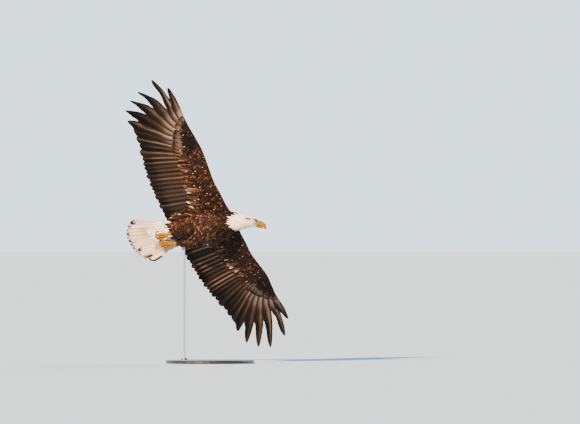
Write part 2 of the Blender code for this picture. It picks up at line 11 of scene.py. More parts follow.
import bpy
import numpy as np
from mathutils import Euler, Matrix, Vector

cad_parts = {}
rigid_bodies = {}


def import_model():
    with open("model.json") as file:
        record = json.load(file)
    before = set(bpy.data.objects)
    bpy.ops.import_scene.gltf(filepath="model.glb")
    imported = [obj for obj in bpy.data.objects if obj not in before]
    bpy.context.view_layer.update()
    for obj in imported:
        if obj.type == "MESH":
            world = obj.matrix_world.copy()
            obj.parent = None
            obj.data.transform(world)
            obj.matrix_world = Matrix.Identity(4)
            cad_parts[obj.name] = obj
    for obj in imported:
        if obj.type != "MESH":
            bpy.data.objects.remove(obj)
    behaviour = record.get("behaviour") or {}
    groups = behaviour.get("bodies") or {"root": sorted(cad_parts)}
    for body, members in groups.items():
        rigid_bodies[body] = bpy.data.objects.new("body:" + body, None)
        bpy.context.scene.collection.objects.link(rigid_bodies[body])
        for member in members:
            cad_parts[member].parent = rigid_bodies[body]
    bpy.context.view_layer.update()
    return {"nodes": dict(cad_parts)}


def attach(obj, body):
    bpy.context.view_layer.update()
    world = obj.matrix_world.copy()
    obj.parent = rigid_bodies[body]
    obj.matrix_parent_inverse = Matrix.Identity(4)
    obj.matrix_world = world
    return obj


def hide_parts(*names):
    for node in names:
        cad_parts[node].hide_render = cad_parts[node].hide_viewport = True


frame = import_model()
BIRD_PLACE = (-0.030, 0.000, 0.800)
BANK, PITCH, HEADING = -50.0, 10.1, -24.4
turning = Euler([math.radians(a) for a in (BANK, -PITCH, HEADING)]).to_matrix()
TURN = np.array([list(row) for row in turning])
SIDES = {"left": 1, "right": -1}
rng = np.random.default_rng(11)


def to_world(points):
    """Points of the bird's level frame (x forward, y left, z up), turned and moved onto the stand."""
    return np.asarray(points) @ TURN.T + np.array(BIRD_PLACE)


def full_turn(count):
    """Even angles round a circle, with the last one short of the first."""
    return np.linspace(0, 2 * np.pi, count, endpoint=False)


# %% [markdown]
# ## Camera
# A far camera with a long lens flattens the bird as a field lens does. It looks level along +Y, and the
# bird's own bank shows its underside.

# %% Camera
CAMERA_PLACE = (0.470, -56.8, 0.890)
camera = bpy.data.objects.new("camera", bpy.data.cameras.new("camera"))
camera.data.lens = 600.0
camera.data.sensor_width = 36.0
camera.data.clip_end = 400.0
camera.location = CAMERA_PLACE
camera.rotation_euler = (math.radians(90), 0, 0)
bpy.context.scene.collection.objects.link(camera)
bpy.context.scene.camera = camera
print("camera at", CAMERA_PLACE)

# %% [markdown]
# ## Light
# The key is a low warm sun on the left in front, softened to a few degrees. It grazes the underside of
# the wings, so every feather shows its relief, and the body throws its shadow on the lower wing. A
# faint wide light from behind keeps the dark upper edges apart from the room. An area lamp would do
# too, but its light falls off over two metres of bird, and a sun's doesn't.


# %% Colours and lights
def linear(code):
    """sRGB hex colour as linear red, green and blue: the lower part over 12.92, the rest a power of 2.4."""
    value = np.array([int(code[i : i + 2], 16) for i in (1, 3, 5)]) / 255
    return np.where(value <= 0.04045, value / 12.92, ((value + 0.055) / 1.055) ** 2.4)


def add_sun(name, towards, strength, softness, colour):
    """A sun in the direction towards, as seen from the bird; softness is its width in degrees."""
    data = bpy.data.lights.new(name, "SUN")
    data.energy = strength
    data.angle = math.radians(softness)
    data.color = linear(colour)
    light = bpy.data.objects.new(name, data)
    light.rotation_euler = Vector(towards).to_track_quat("Z", "Y").to_euler()
    bpy.context.scene.collection.objects.link(light)


add_sun("key", (-0.42, -0.80, 0.42), 19.0, 3, "#ffe8cc")
add_sun("rim", (0.30, 0.70, 0.65), 1.2, 20, "#f2f6ff")
print("lights:", [light.name for light in bpy.data.lights])

# %% [markdown]
# ## Helpers for materials
# Each material is a node tree. One small function adds a node with its settings, and links what it is
# given. Three more add what recurs: a sum, a change of range, and noise. The others start a material,
# give it relief, and give it the colour that is painted on a mesh's points.


# %% Helpers for materials
def node(tree, kind, settings=(), **links):
    """Adds a node, sets its properties, and gives each named socket a value or another node's output; i0
    is the node's first socket, i1 its second."""
    made = tree.nodes.new("ShaderNode" + kind)
    for key, value in dict(settings).items():
        setattr(made, key, value)
    for key, value in links.items():
        by_number = key[0] == "i" and key[1:].isdigit()
        socket = made.inputs[int(key[1:])] if by_number else made.inputs[key.replace("_", " ")]
        if isinstance(value, bpy.types.NodeSocket):
            tree.links.new(value, socket)
        else:
            socket.default_value = value
    return made


def maths(tree, operation, *values):
    """What a math node gives for these values."""
    sockets = {f"i{k}": value for k, value in enumerate(values)}
    return node(tree, "Math", {"operation": operation}, **sockets).outputs[0]


def remap(tree, value, low, high, to_low, to_high):
    """The value carried from the range low to high into another range, and held inside it."""
    return node(tree, "MapRange", i0=value, i1=low, i2=high, i3=to_low, i4=to_high).outputs[0]


def grain(tree, scale, stretch=None, **sockets):
    """Noise over the object's own coordinates, which may be stretched along each axis first."""
    place = node(tree, "TexCoord").outputs["Object"]
    if stretch:
        place = node(tree, "VectorMath", {"operation": "MULTIPLY"}, i0=place, i1=stretch).outputs[0]
    return node(tree, "TexNoise", Vector=place, Scale=scale, **sockets).outputs["Fac"]


def new_material(name, roughness, **sockets):
    """A Principled material with constants on its own sockets, its tree and its shader."""
    material = bpy.data.materials.new(name)
    material.use_nodes = True
    shader = material.node_tree.nodes["Principled BSDF"]
    shader.inputs["Roughness"].default_value = roughness
    for key, value in sockets.items():
        shader.inputs[key.replace("_", " ")].default_value = value
    return material, material.node_tree, shader


def bump(tree, shader, height, strength, distance):
    """Feeds a height into the shader's normal; distance is the real depth in metres."""
    made = node(tree, "Bump", Height=height, Strength=strength, Distance=distance)
    tree.links.new(made.outputs["Normal"], shader.inputs["Normal"])


def colour_by_pigment(tree, shader, tone):
    """Base colour = the colour painted on the points x a pattern's tone, which is about 1."""
    pigment = node(tree, "Attribute", {"attribute_name": "pigment"}).outputs["Color"]
    colour = node(tree, "VectorMath", {"operation": "SCALE"}, i0=pigment, Scale=tone)
    tree.links.new(colour.outputs[0], shader.inputs["Base Color"])


def blend_of(tree, shader, factor, first, second):
    """Base colour = a blend of two hex colours by a pattern."""
    colours = {"i6": (*linear(first), 1), "i7": (*linear(second), 1)}
    blend = node(tree, "Mix", {"data_type": "RGBA"}, Factor=factor, **colours)
    tree.links.new(blend.outputs[2], shader.inputs["Base Color"])


print("helpers for node trees: node, maths, remap, grain, bump, colour_by_pigment, blend_of")

# %% [markdown]
# ## Room and floor
# The room is a pale world that is brighter behind the bird than in front of it: dim in front, so that
# the sun's shadows stay deep, and bright behind, as an open sky is. The floor is a wide disc of matt
# board, painted with a roller, in nearly the room's tone.

# %% Room
ROOM_IN_FRONT, ROOM_BEHIND = 0.12, 2.7
world = bpy.data.worlds.new("pale_room")
bpy.context.scene.world = world
world.use_nodes = True
room = world.node_tree
way = node(room, "SeparateXYZ", Vector=node(room, "TexCoord").outputs["Generated"])
glow = remap(room, way.outputs["Y"], -0.2, 0.8, ROOM_IN_FRONT, ROOM_BEHIND)
room.links.new(glow, room.nodes["Background"].inputs["Strength"])
room.nodes["Background"].inputs["Color"].default_value = (*linear("#cfe0ee"), 1)
print("room:", ROOM_IN_FRONT, "in front,", ROOM_BEHIND, "behind")

# %% Floor
FLOOR_RADIUS = 160


def painted_board():
    """Matt painted board: an even pale tone with the faintest mottle of a roller, about 25 mm across."""
    material, tree, shader = new_material("painted_floor_board", 0.95, Specular_IOR_Level=0.0)
    mottle = grain(tree, 40.0, Detail=4.0)
    blend_of(tree, shader, mottle, "#b4c1cf", "#b8c5d3")
    bump(tree, shader, mottle, 0.05, 0.001)
    return material


floor_angle = full_turn(96)
floor_rim = FLOOR_RADIUS * np.stack([np.cos(floor_angle), np.sin(floor_angle), 0 * floor_angle], 1)
floor_mesh = bpy.data.meshes.new("floor")
floor_mesh.from_pydata(floor_rim.tolist(), [], [range(96)])
floor_mesh.materials.append(painted_board())
floor = bpy.data.objects.new("floor", floor_mesh)
bpy.context.scene.collection.objects.link(floor)
print("floor:", 2 * FLOOR_RADIUS, "m across")

# %% [markdown]
# ## The forms that feathers lie on
# The body is a run of oval sections, each wing a thin curved plate with a fleshy front, and each thigh
# a tapering roll. The tables below give their stations. A smooth curve runs through each table, so that
# any point between stations is known, and every feather can ask where its place is.

# %% Stations
BODY = (
    # along, x, y, z, turn, roll, half width, rise, drop
    (-0.285, -0.285, 0.000, 0.000, 0, 0, 0.114, 0.0060, 0.0080),
    (-0.240, -0.240, 0.000, 0.000, 0, 0, 0.100, 0.0150, 0.0190),
    (-0.200, -0.200, 0.000, 0.000, 0, 0, 0.089, 0.0250, 0.0320),
    (-0.140, -0.140, 0.000, 0.000, 0, 0, 0.085, 0.0400, 0.0560),
    (-0.075, -0.075, 0.000, 0.000, 0, 0, 0.091, 0.0530, 0.0800),
    (0.000, 0.000, 0.000, 0.000, 0, 0, 0.099, 0.0620, 0.1000),
    (0.065, 0.065, 0.000, 0.000, 0, 0, 0.102, 0.0660, 0.1040),
    (0.120, 0.120, 0.000, 0.002, 1, 0, 0.092, 0.0640, 0.0900),
    (0.165, 0.165, 0.001, 0.004, 6, -4, 0.072, 0.0580, 0.0680),
    (0.195, 0.194, 0.006, 0.005, 13, -12, 0.058, 0.0540, 0.0570),
    (0.225, 0.223, 0.014, 0.006, 20, -19, 0.048, 0.0480, 0.0490),
    (0.255, 0.251, 0.026, 0.010, 26, -26, 0.040, 0.0410, 0.0410),
    (0.280, 0.273, 0.038, 0.018, 30, -31, 0.034, 0.0350, 0.0330),
    (0.300, 0.290, 0.049, 0.023, 31, -32, 0.0305, 0.0295, 0.0275),
    (0.315, 0.303, 0.057, 0.024, 31, -32, 0.0245, 0.0245, 0.0245),
    (0.329, 0.315, 0.064, 0.023, 31, -32, 0.0165, 0.0195, 0.0225),
)
ARM = (
    # share, lead x, lead y, rear x, rear y, thickness
    (0.00, 0.195, 0.040, -0.100, 0.050, 0.034),
    (0.10, 0.185, 0.100, -0.066, 0.105, 0.048),
    (0.25, 0.183, 0.190, -0.040, 0.200, 0.042),
    (0.40, 0.177, 0.290, -0.024, 0.295, 0.034),
    (0.55, 0.177, 0.390, -0.010, 0.390, 0.027),
    (0.70, 0.174, 0.495, 0.004, 0.485, 0.020),
    (0.80, 0.160, 0.575, 0.022, 0.555, 0.015),
    (0.90, 0.147, 0.645, 0.056, 0.628, 0.011),
    (1.00, 0.139, 0.700, 0.110, 0.694, 0.007),
)
WING_SURFACE = (
    # y, height, rise per metre forward
    (0.00, 0.024, 0.03),
    (0.15, 0.027, 0.03),
    (0.30, 0.038, 0.04),
    (0.40, 0.053, 0.11),
    (0.50, 0.069, 0.18),
    (0.60, 0.083, 0.25),
    (0.70, 0.099, 0.33),
    (0.80, 0.121, 0.42),
    (0.90, 0.136, 0.56),
    (1.00, 0.134, 0.60),
)
THIGH = (
    # share, x, y, z, half width, half height
    (0.00, -0.020, 0.050, -0.045, 0.034, 0.034),
    (0.30, -0.065, 0.049, -0.058, 0.036, 0.035),
    (0.60, -0.110, 0.047, -0.061, 0.031, 0.029),
    (0.85, -0.150, 0.043, -0.058, 0.021, 0.020),
    (1.00, -0.172, 0.041, -0.055, 0.014, 0.013),
)
print("stations:", len(BODY), "of the body,", len(ARM), "of the arm,", len(THIGH), "of the thigh")

# %% [markdown]
# ## From stations to any point between them
# Straight lines between stations would show as rings on the finished body. A cubic curve that passes
# through each station, with the slope of its two neighbours, has no corners and needs no more numbers.


# %% A smooth curve through stations
def through(rows, at):
    """Smooth curve through rows keyed by their first column (Catmull-Rom tangents), read at these keys."""
    rows = np.array(rows, float)
    keys, values = rows[:, 0], rows[:, 1:]
    slopes = np.gradient(values, keys, axis=0)
    at = np.ravel(np.asarray(at, float))
    i = np.clip(np.searchsorted(keys, at) - 1, 0, len(keys) - 2)
    step = (keys[i + 1] - keys[i])[:, None]
    t = ((at - keys[i])[:, None]) / step
    return (
        values[i] * (2 * t**3 - 3 * t**2 + 1)
        + slopes[i] * step * (t**3 - 2 * t**2 + t)
        + values[i + 1] * (3 * t**2 - 2 * t**3)
        + slopes[i + 1] * step * (t**3 - t**2)
    )


print("half width of the trunk at its middle:", round(float(through(BODY, 0.03)[0, 5]), 4))

# %% [markdown]
# ## A place on the body
# A feather is placed by two numbers, how far along the body and at what angle round it, as on a globe.
# These functions turn the two, with a height over the skin, into a point. The neck's sections turn and
# roll, because the head looks to the bird's left.


# %% Where a point of the body is
def body_frames(along):
    """Centres, left and up axes and half sizes of the sections, which turn left and roll right."""
    at = through(BODY, np.clip(along, BODY[0][0], BODY[-1][0]))
    turn, roll = np.radians(at[:, 3]), np.radians(at[:, 4])
    forward = np.stack([np.cos(turn), np.sin(turn), 0 * turn], 1)
    level = np.stack([-np.sin(turn), np.cos(turn), 0 * turn], 1)
    up = np.cross(forward, level)
    left = level * np.cos(roll)[:, None] - up * np.sin(roll)[:, None]
    return at[:, :3], left, np.cross(forward, left), at[:, 5:8]


def spread_out(*values):
    """The values broadcast to one shape: that shape, and each value as a flat array."""
    shape = np.broadcast_shapes(*(np.shape(v) for v in values))
    return shape, [np.broadcast_to(v, shape).ravel().astype(float) for v in values]


def on_body(along, angle, grow):
    """Point of an oval section: centre + (half width + grow) cosine left + (half height + grow) sine up."""
    shape, (along, angle, grow) = spread_out(along, angle, grow)
    centre, left, up, size = body_frames(along)
    size = np.maximum(size + grow[:, None], 0.0008)
    height = np.where(np.sin(angle) > 0, size[:, 1], size[:, 2]) * np.sin(angle)
    points = centre + (size[:, 0] * np.cos(angle))[:, None] * left + height[:, None] * up
    return points.reshape(*shape, 3)


print("deepest point of the breast:", on_body(0.065, -math.pi / 2, 0.0).round(3))

# %% [markdown]
# ## The wing's surface
# A wing is a thin curved plate. Its middle surface is one formula, and the flesh is a teardrop section
# on it: round at the leading edge, thin behind. Marginal feathers wrap round that edge, so a place on
# the arm is given by its share along the arm and by a distance that runs back from the edge, measured
# on the skin.

# %% The wing's surface and its flesh
CAMBER, CREST_X = 0.35, 0.02
ARM_STEPS = np.linspace(0, 1, 201)
ARM_FINE = through(ARM, ARM_STEPS)
CHORDS = np.linspace(0, 1, 400)
EDGE_RUN = np.cumsum(
    np.hypot(np.gradient(CHORDS), np.gradient(0.16 * 1.3 * np.sqrt(CHORDS) * (1 - CHORDS) ** 0.8))
)
EDGE_RUN -= EDGE_RUN[0]


def arm_at(share):
    """Lead x, lead y, rear x, rear y and thickness of the arm at these shares of its length."""
    return [np.interp(share, ARM_STEPS, ARM_FINE[:, k]) for k in range(5)]


def wing_height(x, y):
    """Middle surface: height(y) + rise(y) x - camber (x - crest) squared."""
    shape, (x, y) = spread_out(x, y)
    surface = through(WING_SURFACE, np.abs(y))
    return (surface[:, 0] + surface[:, 1] * x - CAMBER * (x - CREST_X) ** 2).reshape(shape)


def flesh(chord, thickness):
    """Half thickness: 1.3 thickness sqrt(chord) (1 - chord)^0.8, and 2.5 mm at the rear."""
    chord = np.clip(chord, 0, 1)
    rear = 0.0025 * np.minimum(1, thickness / 0.015)
    return 1.3 * thickness * np.sqrt(chord) * (1 - chord) ** 0.8 + rear * chord


print("arm thickness at the wrist:", round(float(arm_at(0.70)[4]), 4))

# %% [markdown]
# ## Places on the wing
# Small coverts are placed by the run along the skin, so that they can wrap round the edge. Long ones
# are placed on the wing's plan, because past the flesh they lie on the flight feathers.


# %% Where a point of the wing is
def on_arm(share, run, face, grow):
    """Point of the upper (1) or lower (-1) face, run behind the leading edge; below 0 it wraps round."""
    shape, (share, run, face, grow) = spread_out(share, run, face, grow)
    lead_x, lead_y, rear_x, rear_y, thick = arm_at(share)
    length = np.hypot(lead_x - rear_x, lead_y - rear_y)
    chord = np.interp(np.abs(run) / length, EDGE_RUN, CHORDS)
    side = face * np.where(run < 0, -1, 1)
    edge = np.exp(-chord / 0.03)
    x = lead_x + (rear_x - lead_x) * chord + grow * edge
    y = lead_y + (rear_y - lead_y) * chord
    z = wing_height(x, y) + side * np.maximum(flesh(chord, thick) + grow * (1 - edge), 0)
    return np.stack([x, y, z], 1).reshape(*shape, 3)


ARM_Y = (ARM_FINE[:, 1] + ARM_FINE[:, 3]) / 2
HAND_END = 0.695


def on_wing(x, y, face, grow):
    """Point over or under the wing at a place of its plan; past the flesh it lies on the quills."""
    shape, (x, y, face, grow) = spread_out(x, y, face, grow)
    lead_x, _, rear_x, _, thick = arm_at(np.interp(np.abs(y), ARM_Y, ARM_STEPS))
    chord = (lead_x - x) / (lead_x - rear_x)
    past_end = np.maximum(0, np.abs(y) - HAND_END) / 0.02
    beyond = np.exp(-(past_end**2) - (np.maximum(0, chord - 1) / 0.12) ** 2)
    z = wing_height(x, y) + face * (flesh(chord, thick) * beyond + grow)
    return np.stack([x, y, z], 1).reshape(*shape, 3)


print("wing at mid chord:", on_wing(0.08, 0.30, 1, 0.0).round(3))

# %% [markdown]
# ## Places on the thigh and the rump
# The thigh is a roll that tapers to the shank. Over the tail's root the body thins out into the flat
# fan of the tail, so the rump has a surface of its own that joins the two.


# %% Where a point of the thigh and the rump is
def on_thigh(share, angle, grow):
    """Point of a tapering roll: centre + (half size + grow) x (cosine sideways, sine upwards)."""
    shape, (share, angle, grow) = spread_out(share, angle, grow)
    at = through(THIGH, np.clip(share, 0, 1))
    size = at[:, 3:5] + grow[:, None]
    along = np.maximum(0, share - 1) * 0.15
    left = at[:, 1] + size[:, 0] * np.cos(angle)
    up = at[:, 2] + size[:, 1] * np.sin(angle)
    return np.stack([at[:, 0] - along, left, up], 1).reshape(*shape, 3)


TAIL_BASE, TAIL_MIDDLE, TAIL_SAG = -0.2865, -0.496, 0.012
RUMP = ((-0.40, 0.0012, 0.0012), (-0.33, 0.003, 0.0035), (-0.285, 0.0060, 0.0080))
RUMP = np.array([*RUMP, *((row[0], row[7], row[8]) for row in BODY[1:6])])


def on_rump(x, y, face, grow):
    """Point over or under the tail's root: an oval rump that thins out over the flat, sagging fan."""
    shape, (x, y, face, grow) = spread_out(x, y, face, grow)
    half = np.interp(x, [-0.5, -0.285, -0.24, -0.2, -0.14], [0.165, 0.114, 0.100, 0.089, 0.085])
    rise, drop = (np.interp(x, RUMP[:, 0], RUMP[:, k]) for k in (1, 2))
    high = np.where(face > 0, rise, drop)
    sag = -TAIL_SAG * np.clip((TAIL_BASE - x) / (TAIL_BASE - TAIL_MIDDLE), 0, 1)
    z = sag + face * (high * np.sqrt(np.clip(1 - (y / half) ** 2, 0.02, 1)) + grow)
    return np.stack([x, y, z], 1).reshape(*shape, 3)


print("rump over the tail's root:", on_rump(-0.30, 0.0, 1, 0.0).round(3))

# %% [markdown]
# ## From points to meshes
# Every closed piece here is a stack of rings: a vane, a claw, a toe or the bill. The rings' points come
# as one array, and one function joins neighbouring rings with quads, closes both ends, and turns a
# piece whose volume comes out negative, so that all faces point outwards.


# %% Rings to a mesh
def ring_faces(rows, sides):
    """Quads between rows of rings, and quads that close the first and last ring across."""
    r, s = np.meshgrid(np.arange(rows - 1), np.arange(sides), indexing="ij")
    here, beside = r * sides + s, r * sides + (s + 1) % sides
    walls = np.stack([here, beside, beside + sides, here + sides], 2).reshape(-1, 4)
    k = np.arange(sides // 2 - 1)
    cap = np.stack([k, sides - 1 - k, sides - 2 - k, k + 1], 1)
    return np.concatenate([walls, cap, cap[:, ::-1] + (rows - 1) * sides])


def stacked_mesh(name, rings):
    """One mesh of N closed pieces from rings (N, rows, sides, 3), turned where a volume is negative."""
    rings = np.asarray(rings, float)
    count, rows, sides = rings.shape[:3]
    points = rings.reshape(count, -1, 3)
    quads = ring_faces(rows, sides)
    a, b, c, d = (points[:, quads[:, k]] - points.mean(1, keepdims=True) for k in range(4))
    volume = np.einsum("nfk,nfk->n", a, np.cross(b, c)) + np.einsum("nfk,nfk->n", a, np.cross(c, d))
    every = quads[None] + (np.arange(count) * rows * sides)[:, None, None]
    every[volume < 0] = every[volume < 0][:, :, ::-1]
    every = every.reshape(-1, 4)
    mesh = bpy.data.meshes.new(name)
    mesh.vertices.add(count * rows * sides)
    mesh.vertices.foreach_set("co", points.ravel().astype(np.float32))
    mesh.loops.add(every.size)
    mesh.loops.foreach_set("vertex_index", every.ravel().astype(np.int32))
    mesh.polygons.add(len(every))
    mesh.polygons.foreach_set("loop_start", np.arange(0, every.size, 4, dtype=np.int32))
    mesh.update(calc_edges=True)
    mesh.shade_smooth()
    return mesh


print("faces of a vane of 8 rings of 6 points:", len(ring_faces(8, 6)))

# %% [markdown]
# ## What a mesh carries
# Each piece carries its colour on its points, so one material serves thousands of feathers. A second value
# gives the material a place on the vane in millimetres. The last function links the piece to what it rides
# on, gives it its finish, and hides the solids that it stands for.


# %% Colours, maps and the table of pieces
def sharpen_rims(mesh, rows, sides, rims):
    """Marks as sharp the edges that run along a vane's two rims, so that its faces shade as flat blades."""
    ends = np.empty(len(mesh.edges) * 2, np.int32)
    mesh.edges.foreach_get("vertices", ends)
    place = (ends.reshape(-1, 2) % (rows * sides)) % sides
    rim = (place[:, 0] == place[:, 1]) & np.isin(place[:, 0], rims)
    mesh.attributes.new("sharp_edge", "BOOLEAN", "EDGE").data.foreach_set("value", rim)


def set_pigment(mesh, pigment):
    """The colour of each point, held between 0 and 1, with an alpha of 1."""
    colours = np.concatenate([np.clip(pigment, 0, 1), np.ones((*pigment.shape[:-1], 1))], -1)
    made = mesh.attributes.new("pigment", "FLOAT_COLOR", "POINT")
    made.data.foreach_set("color", colours.ravel().astype(np.float32))


def set_barb_place(mesh, places):
    """Each point's place on its vane for the barbs: across and along in mm, and the vane's own number."""
    made = mesh.attributes.new("barb", "FLOAT_VECTOR", "POINT")
    made.data.foreach_set("vector", places.ravel().astype(np.float32))


def set_uv(mesh, name, per_point):
    """A map from the points' own values, read at each face corner."""
    corners = np.empty(len(mesh.loops), np.int32)
    mesh.loops.foreach_get("vertex_index", corners)
    layer = mesh.uv_layers.new(name=name)
    layer.uv.foreach_set("vector", per_point[corners].ravel().astype(np.float32))


def add_piece(name, mesh, material, slot, nodes=()):
    """Links a mesh as a piece of the bird that rides with it and stands for these solids."""
    mesh.materials.append(material)
    obj = bpy.data.objects.new(name, mesh)
    bpy.context.scene.collection.objects.link(obj)
    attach(obj, "root")
    if nodes:
        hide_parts(*nodes)
    print(name, 2 * len(mesh.polygons), "triangles")


# %% [markdown]
# ## Plumage materials
# A feather is keratin: a matt, slightly silky surface made of barbs that leave the shaft at a slant.
# Its pigment is laid down feather by feather, so each vane carries its own colour at its points, worked
# out below. The material adds what repeats on all of them: fine slanting barbs, a little silk along
# them, and small breaks in tone. Real barbs are about 0.4 mm apart. They are drawn 1.3 mm apart on the
# long quills and closer on small feathers, because finer ones would not show.


# %% Feather material
BARB_SPACING_MM = 1.3
BARB_SLANT = 1.3


def feather_material(name, roughness, depth, contrast, sheen):
    """Keratin vane: the point colour, darkened in lines that slant back from the shaft, with relief."""
    material, tree, shader = new_material(name, roughness, Sheen_Weight=sheen, Sheen_Roughness=0.4)
    shader.inputs["Specular IOR Level"].default_value = 0.07
    barb = node(tree, "Attribute", {"attribute_name": "barb"}).outputs["Vector"]
    place = node(tree, "SeparateXYZ", Vector=barb)
    out = maths(tree, "ABSOLUTE", place.outputs["X"])
    run = maths(tree, "SUBTRACT", place.outputs["Y"], maths(tree, "MULTIPLY", out, BARB_SLANT))
    barbs = maths(tree, "SINE", maths(tree, "MULTIPLY", run, 2 * math.pi / BARB_SPACING_MM))
    strand = node(tree, "CombineXYZ", X=run, Y=out, Z=place.outputs["Z"]).outputs[0]
    stretched = node(tree, "VectorMath", {"operation": "MULTIPLY"}, i0=strand, i1=(0.45, 0.06, 9.0))
    clumps = node(tree, "TexNoise", Vector=stretched.outputs[0], Scale=1.0, Detail=3.0, Roughness=0.6)
    clumps = clumps.outputs["Fac"]
    tone = remap(tree, clumps, 0.3, 0.7, 1 - contrast, 1 + contrast)
    fine = remap(tree, barbs, -1.0, 1.0, 1 - 0.5 * contrast, 1.0)
    colour_by_pigment(tree, shader, maths(tree, "MULTIPLY", tone, fine))
    rough = remap(tree, clumps, 0.3, 0.7, roughness - 0.1, roughness + 0.1)
    tree.links.new(rough, shader.inputs["Roughness"])
    bump(tree, shader, maths(tree, "MULTIPLY_ADD", barbs, 0.25, clumps), 0.6, depth)
    return material


BODY_FEATHER = feather_material("keratin_contour_feathers", 0.62, 0.0003, 0.35, 0.02)
FLIGHT_FEATHER = feather_material("keratin_flight_feathers", 0.50, 0.0003, 0.25, 0.0)
WHITE_FEATHER = feather_material("keratin_white_feathers", 0.68, 0.0002, 0.06, 0.05)
print("feather materials:", [m.name for m in (BODY_FEATHER, FLIGHT_FEATHER, WHITE_FEATHER)])

# %% [markdown]
# ## Pigments
# An adult is dark brown with paler, rust-edged fringes, greyer under the flight feathers, and white on
# the head and tail. Colours are mixed by weights from 0 to 1, so one formula paints thousands of vanes
# at once.

# %% Pigments
DARK, BROWN, WARM, TAN = (linear(c) for c in ("#080402", "#190e08", "#482819", "#865c43"))
GREY, PALE_GREY, BLACK = (linear(c) for c in ("#2c221c", "#6d594c", "#030202"))
WHITE, CREAM, BUFF, SHADE = (linear(c) for c in ("#fdf0e2", "#e2bf99", "#e6cba8", "#8c6c52"))


def mix(first, second, weight):
    """First colour where the weight is 0, second where it is 1."""
    weight = np.clip(np.asarray(weight, float), 0, 1)[..., None]
    return first * (1 - weight) + second * weight


def ramp(value, start, end):
    """0 before start, 1 after end, and an S curve (3 t squared - 2 t cubed) between them."""
    t = np.clip((value - start) / (end - start), 0, 1)
    return t * t * (3 - 2 * t)


def hump(value, middle, width):
    """A bell curve: 1 at the middle and e^-1 at width from it."""
    return np.exp(-(((value - middle) / width) ** 2))


print("half way between brown and white:", mix(BROWN, WHITE, 0.5).round(2))


# %% [markdown]
# ## The vane of a small feather
# A contour feather is a short curved blade: narrow at its quill, broad in the middle, rounded at its
# tip, or pointed on the neck. It bends down to the body at its rims and lifts a little at its tip,
# which lies on the feathers behind it. Here it is 8 rings of 6 points: two rims, three points above and
# one below.

# %% Vane generator
VANE_ROWS = np.array([0.0, 0.24, 0.50, 0.72, 0.86, 0.94, 0.98, 1.0])
RING_ACROSS = np.array([-1.0, -0.5, 0.0, 0.5, 1.0, 0.0])
RING_SIDE = np.array([0.0, 0.6, 1.0, 0.6, 0.0, -0.8])


def column(values):
    """One value for each vane, shaped to meet arrays of (vanes, rings, points)."""
    return np.asarray(values, float)[:, None, None]


def vanes(place, length, width, low, high, point=0.0, cup=0.25, thickness=0.0005):
    """Rings (N, 8, 6, 3) of N vanes. Half width = width x (0.35 to 1 over the first 45%) x (1 - t^p)^q,
    with p, q = 4, 0.5 for a round tip and 1.8, 0.9 for a pointed one; height = low to high as t^0.9, less
    cup x width x across squared; place() turns distances along, across and above into points."""
    t = VANE_ROWS[None, :, None]
    point = column(np.broadcast_to(point, len(length)))
    p, q = 4 - 2.2 * point, 0.5 + 0.4 * point
    swell = 0.35 + 0.65 * np.sin(np.pi / 2 * np.minimum(1, t / 0.45))
    half = column(width) * np.maximum(swell * (1 - t**p) ** q, 0.05)
    across = half * RING_ACROSS
    along = column(length) * t * np.ones_like(across)
    blade = thickness * (1.3 - 0.8 * t) * RING_SIDE
    height = column(low) + (column(high) - column(low)) * t**0.9 - cup * half * RING_ACROSS**2 + blade
    return place(along, across, height), np.stack([across * 1000, along * 1000], -1)


print("a vane has", len(VANE_ROWS), "rings of", len(RING_ACROSS), "points")

# %% [markdown]
# ## From vanes to a coat
# All vanes of one region become one mesh, because thousands of objects would be slow to draw and to
# export. Each vane still has its own colours, its own barb coordinates and its own patch on the baking
# map.

# %% A coat of vanes
PATCH = 0.003
SLENDER_MM, FINEST = 9.0, 3.5


def coat(name, rings, local, roots_uv, pigment, material, slot):
    """A coat piece: the vanes' mesh with their pigment, barb coordinates in mm and a number of their own,
    and the baking map, where each vane is a patch 0.003 across at its root's place on the skin's unwrap."""
    count, rows, sides = rings.shape[:3]
    mesh = stacked_mesh(name, to_world(rings))
    sharpen_rims(mesh, rows, sides, (0, 4))
    set_pigment(mesh, pigment)
    own = np.broadcast_to(column(rng.random(count) * 40), local.shape[:-1])
    wide, reach = (column(np.abs(local[..., k]).max(axis=(1, 2)) + 1e-6) for k in (0, 1))
    finer = np.clip(SLENDER_MM / wide, 1.0, FINEST)[..., None]
    set_barb_place(mesh, np.concatenate([local * finer, own[..., None]], -1))
    patch = np.stack([local[..., 0] / wide * 0.5, local[..., 1] / reach - 0.5], -1) * PATCH
    set_uv(mesh, "OFBake", (np.asarray(roots_uv)[:, None, None, :] + patch).reshape(-1, 2))
    add_piece(name, mesh, material, slot)


print("barbs on a vane 4.5 mm to a side are drawn", SLENDER_MM / 4.5, "times closer")

# %% [markdown]
# ## Painting small feathers
# A brown feather is darkest in its middle, with a rusty rim and tip where it has worn. A white one is
# cream at its rims and grey at its quill. Each vane draws its own depth of tone from the seeded random
# numbers, so no two neighbours match and every run gives the same bird.


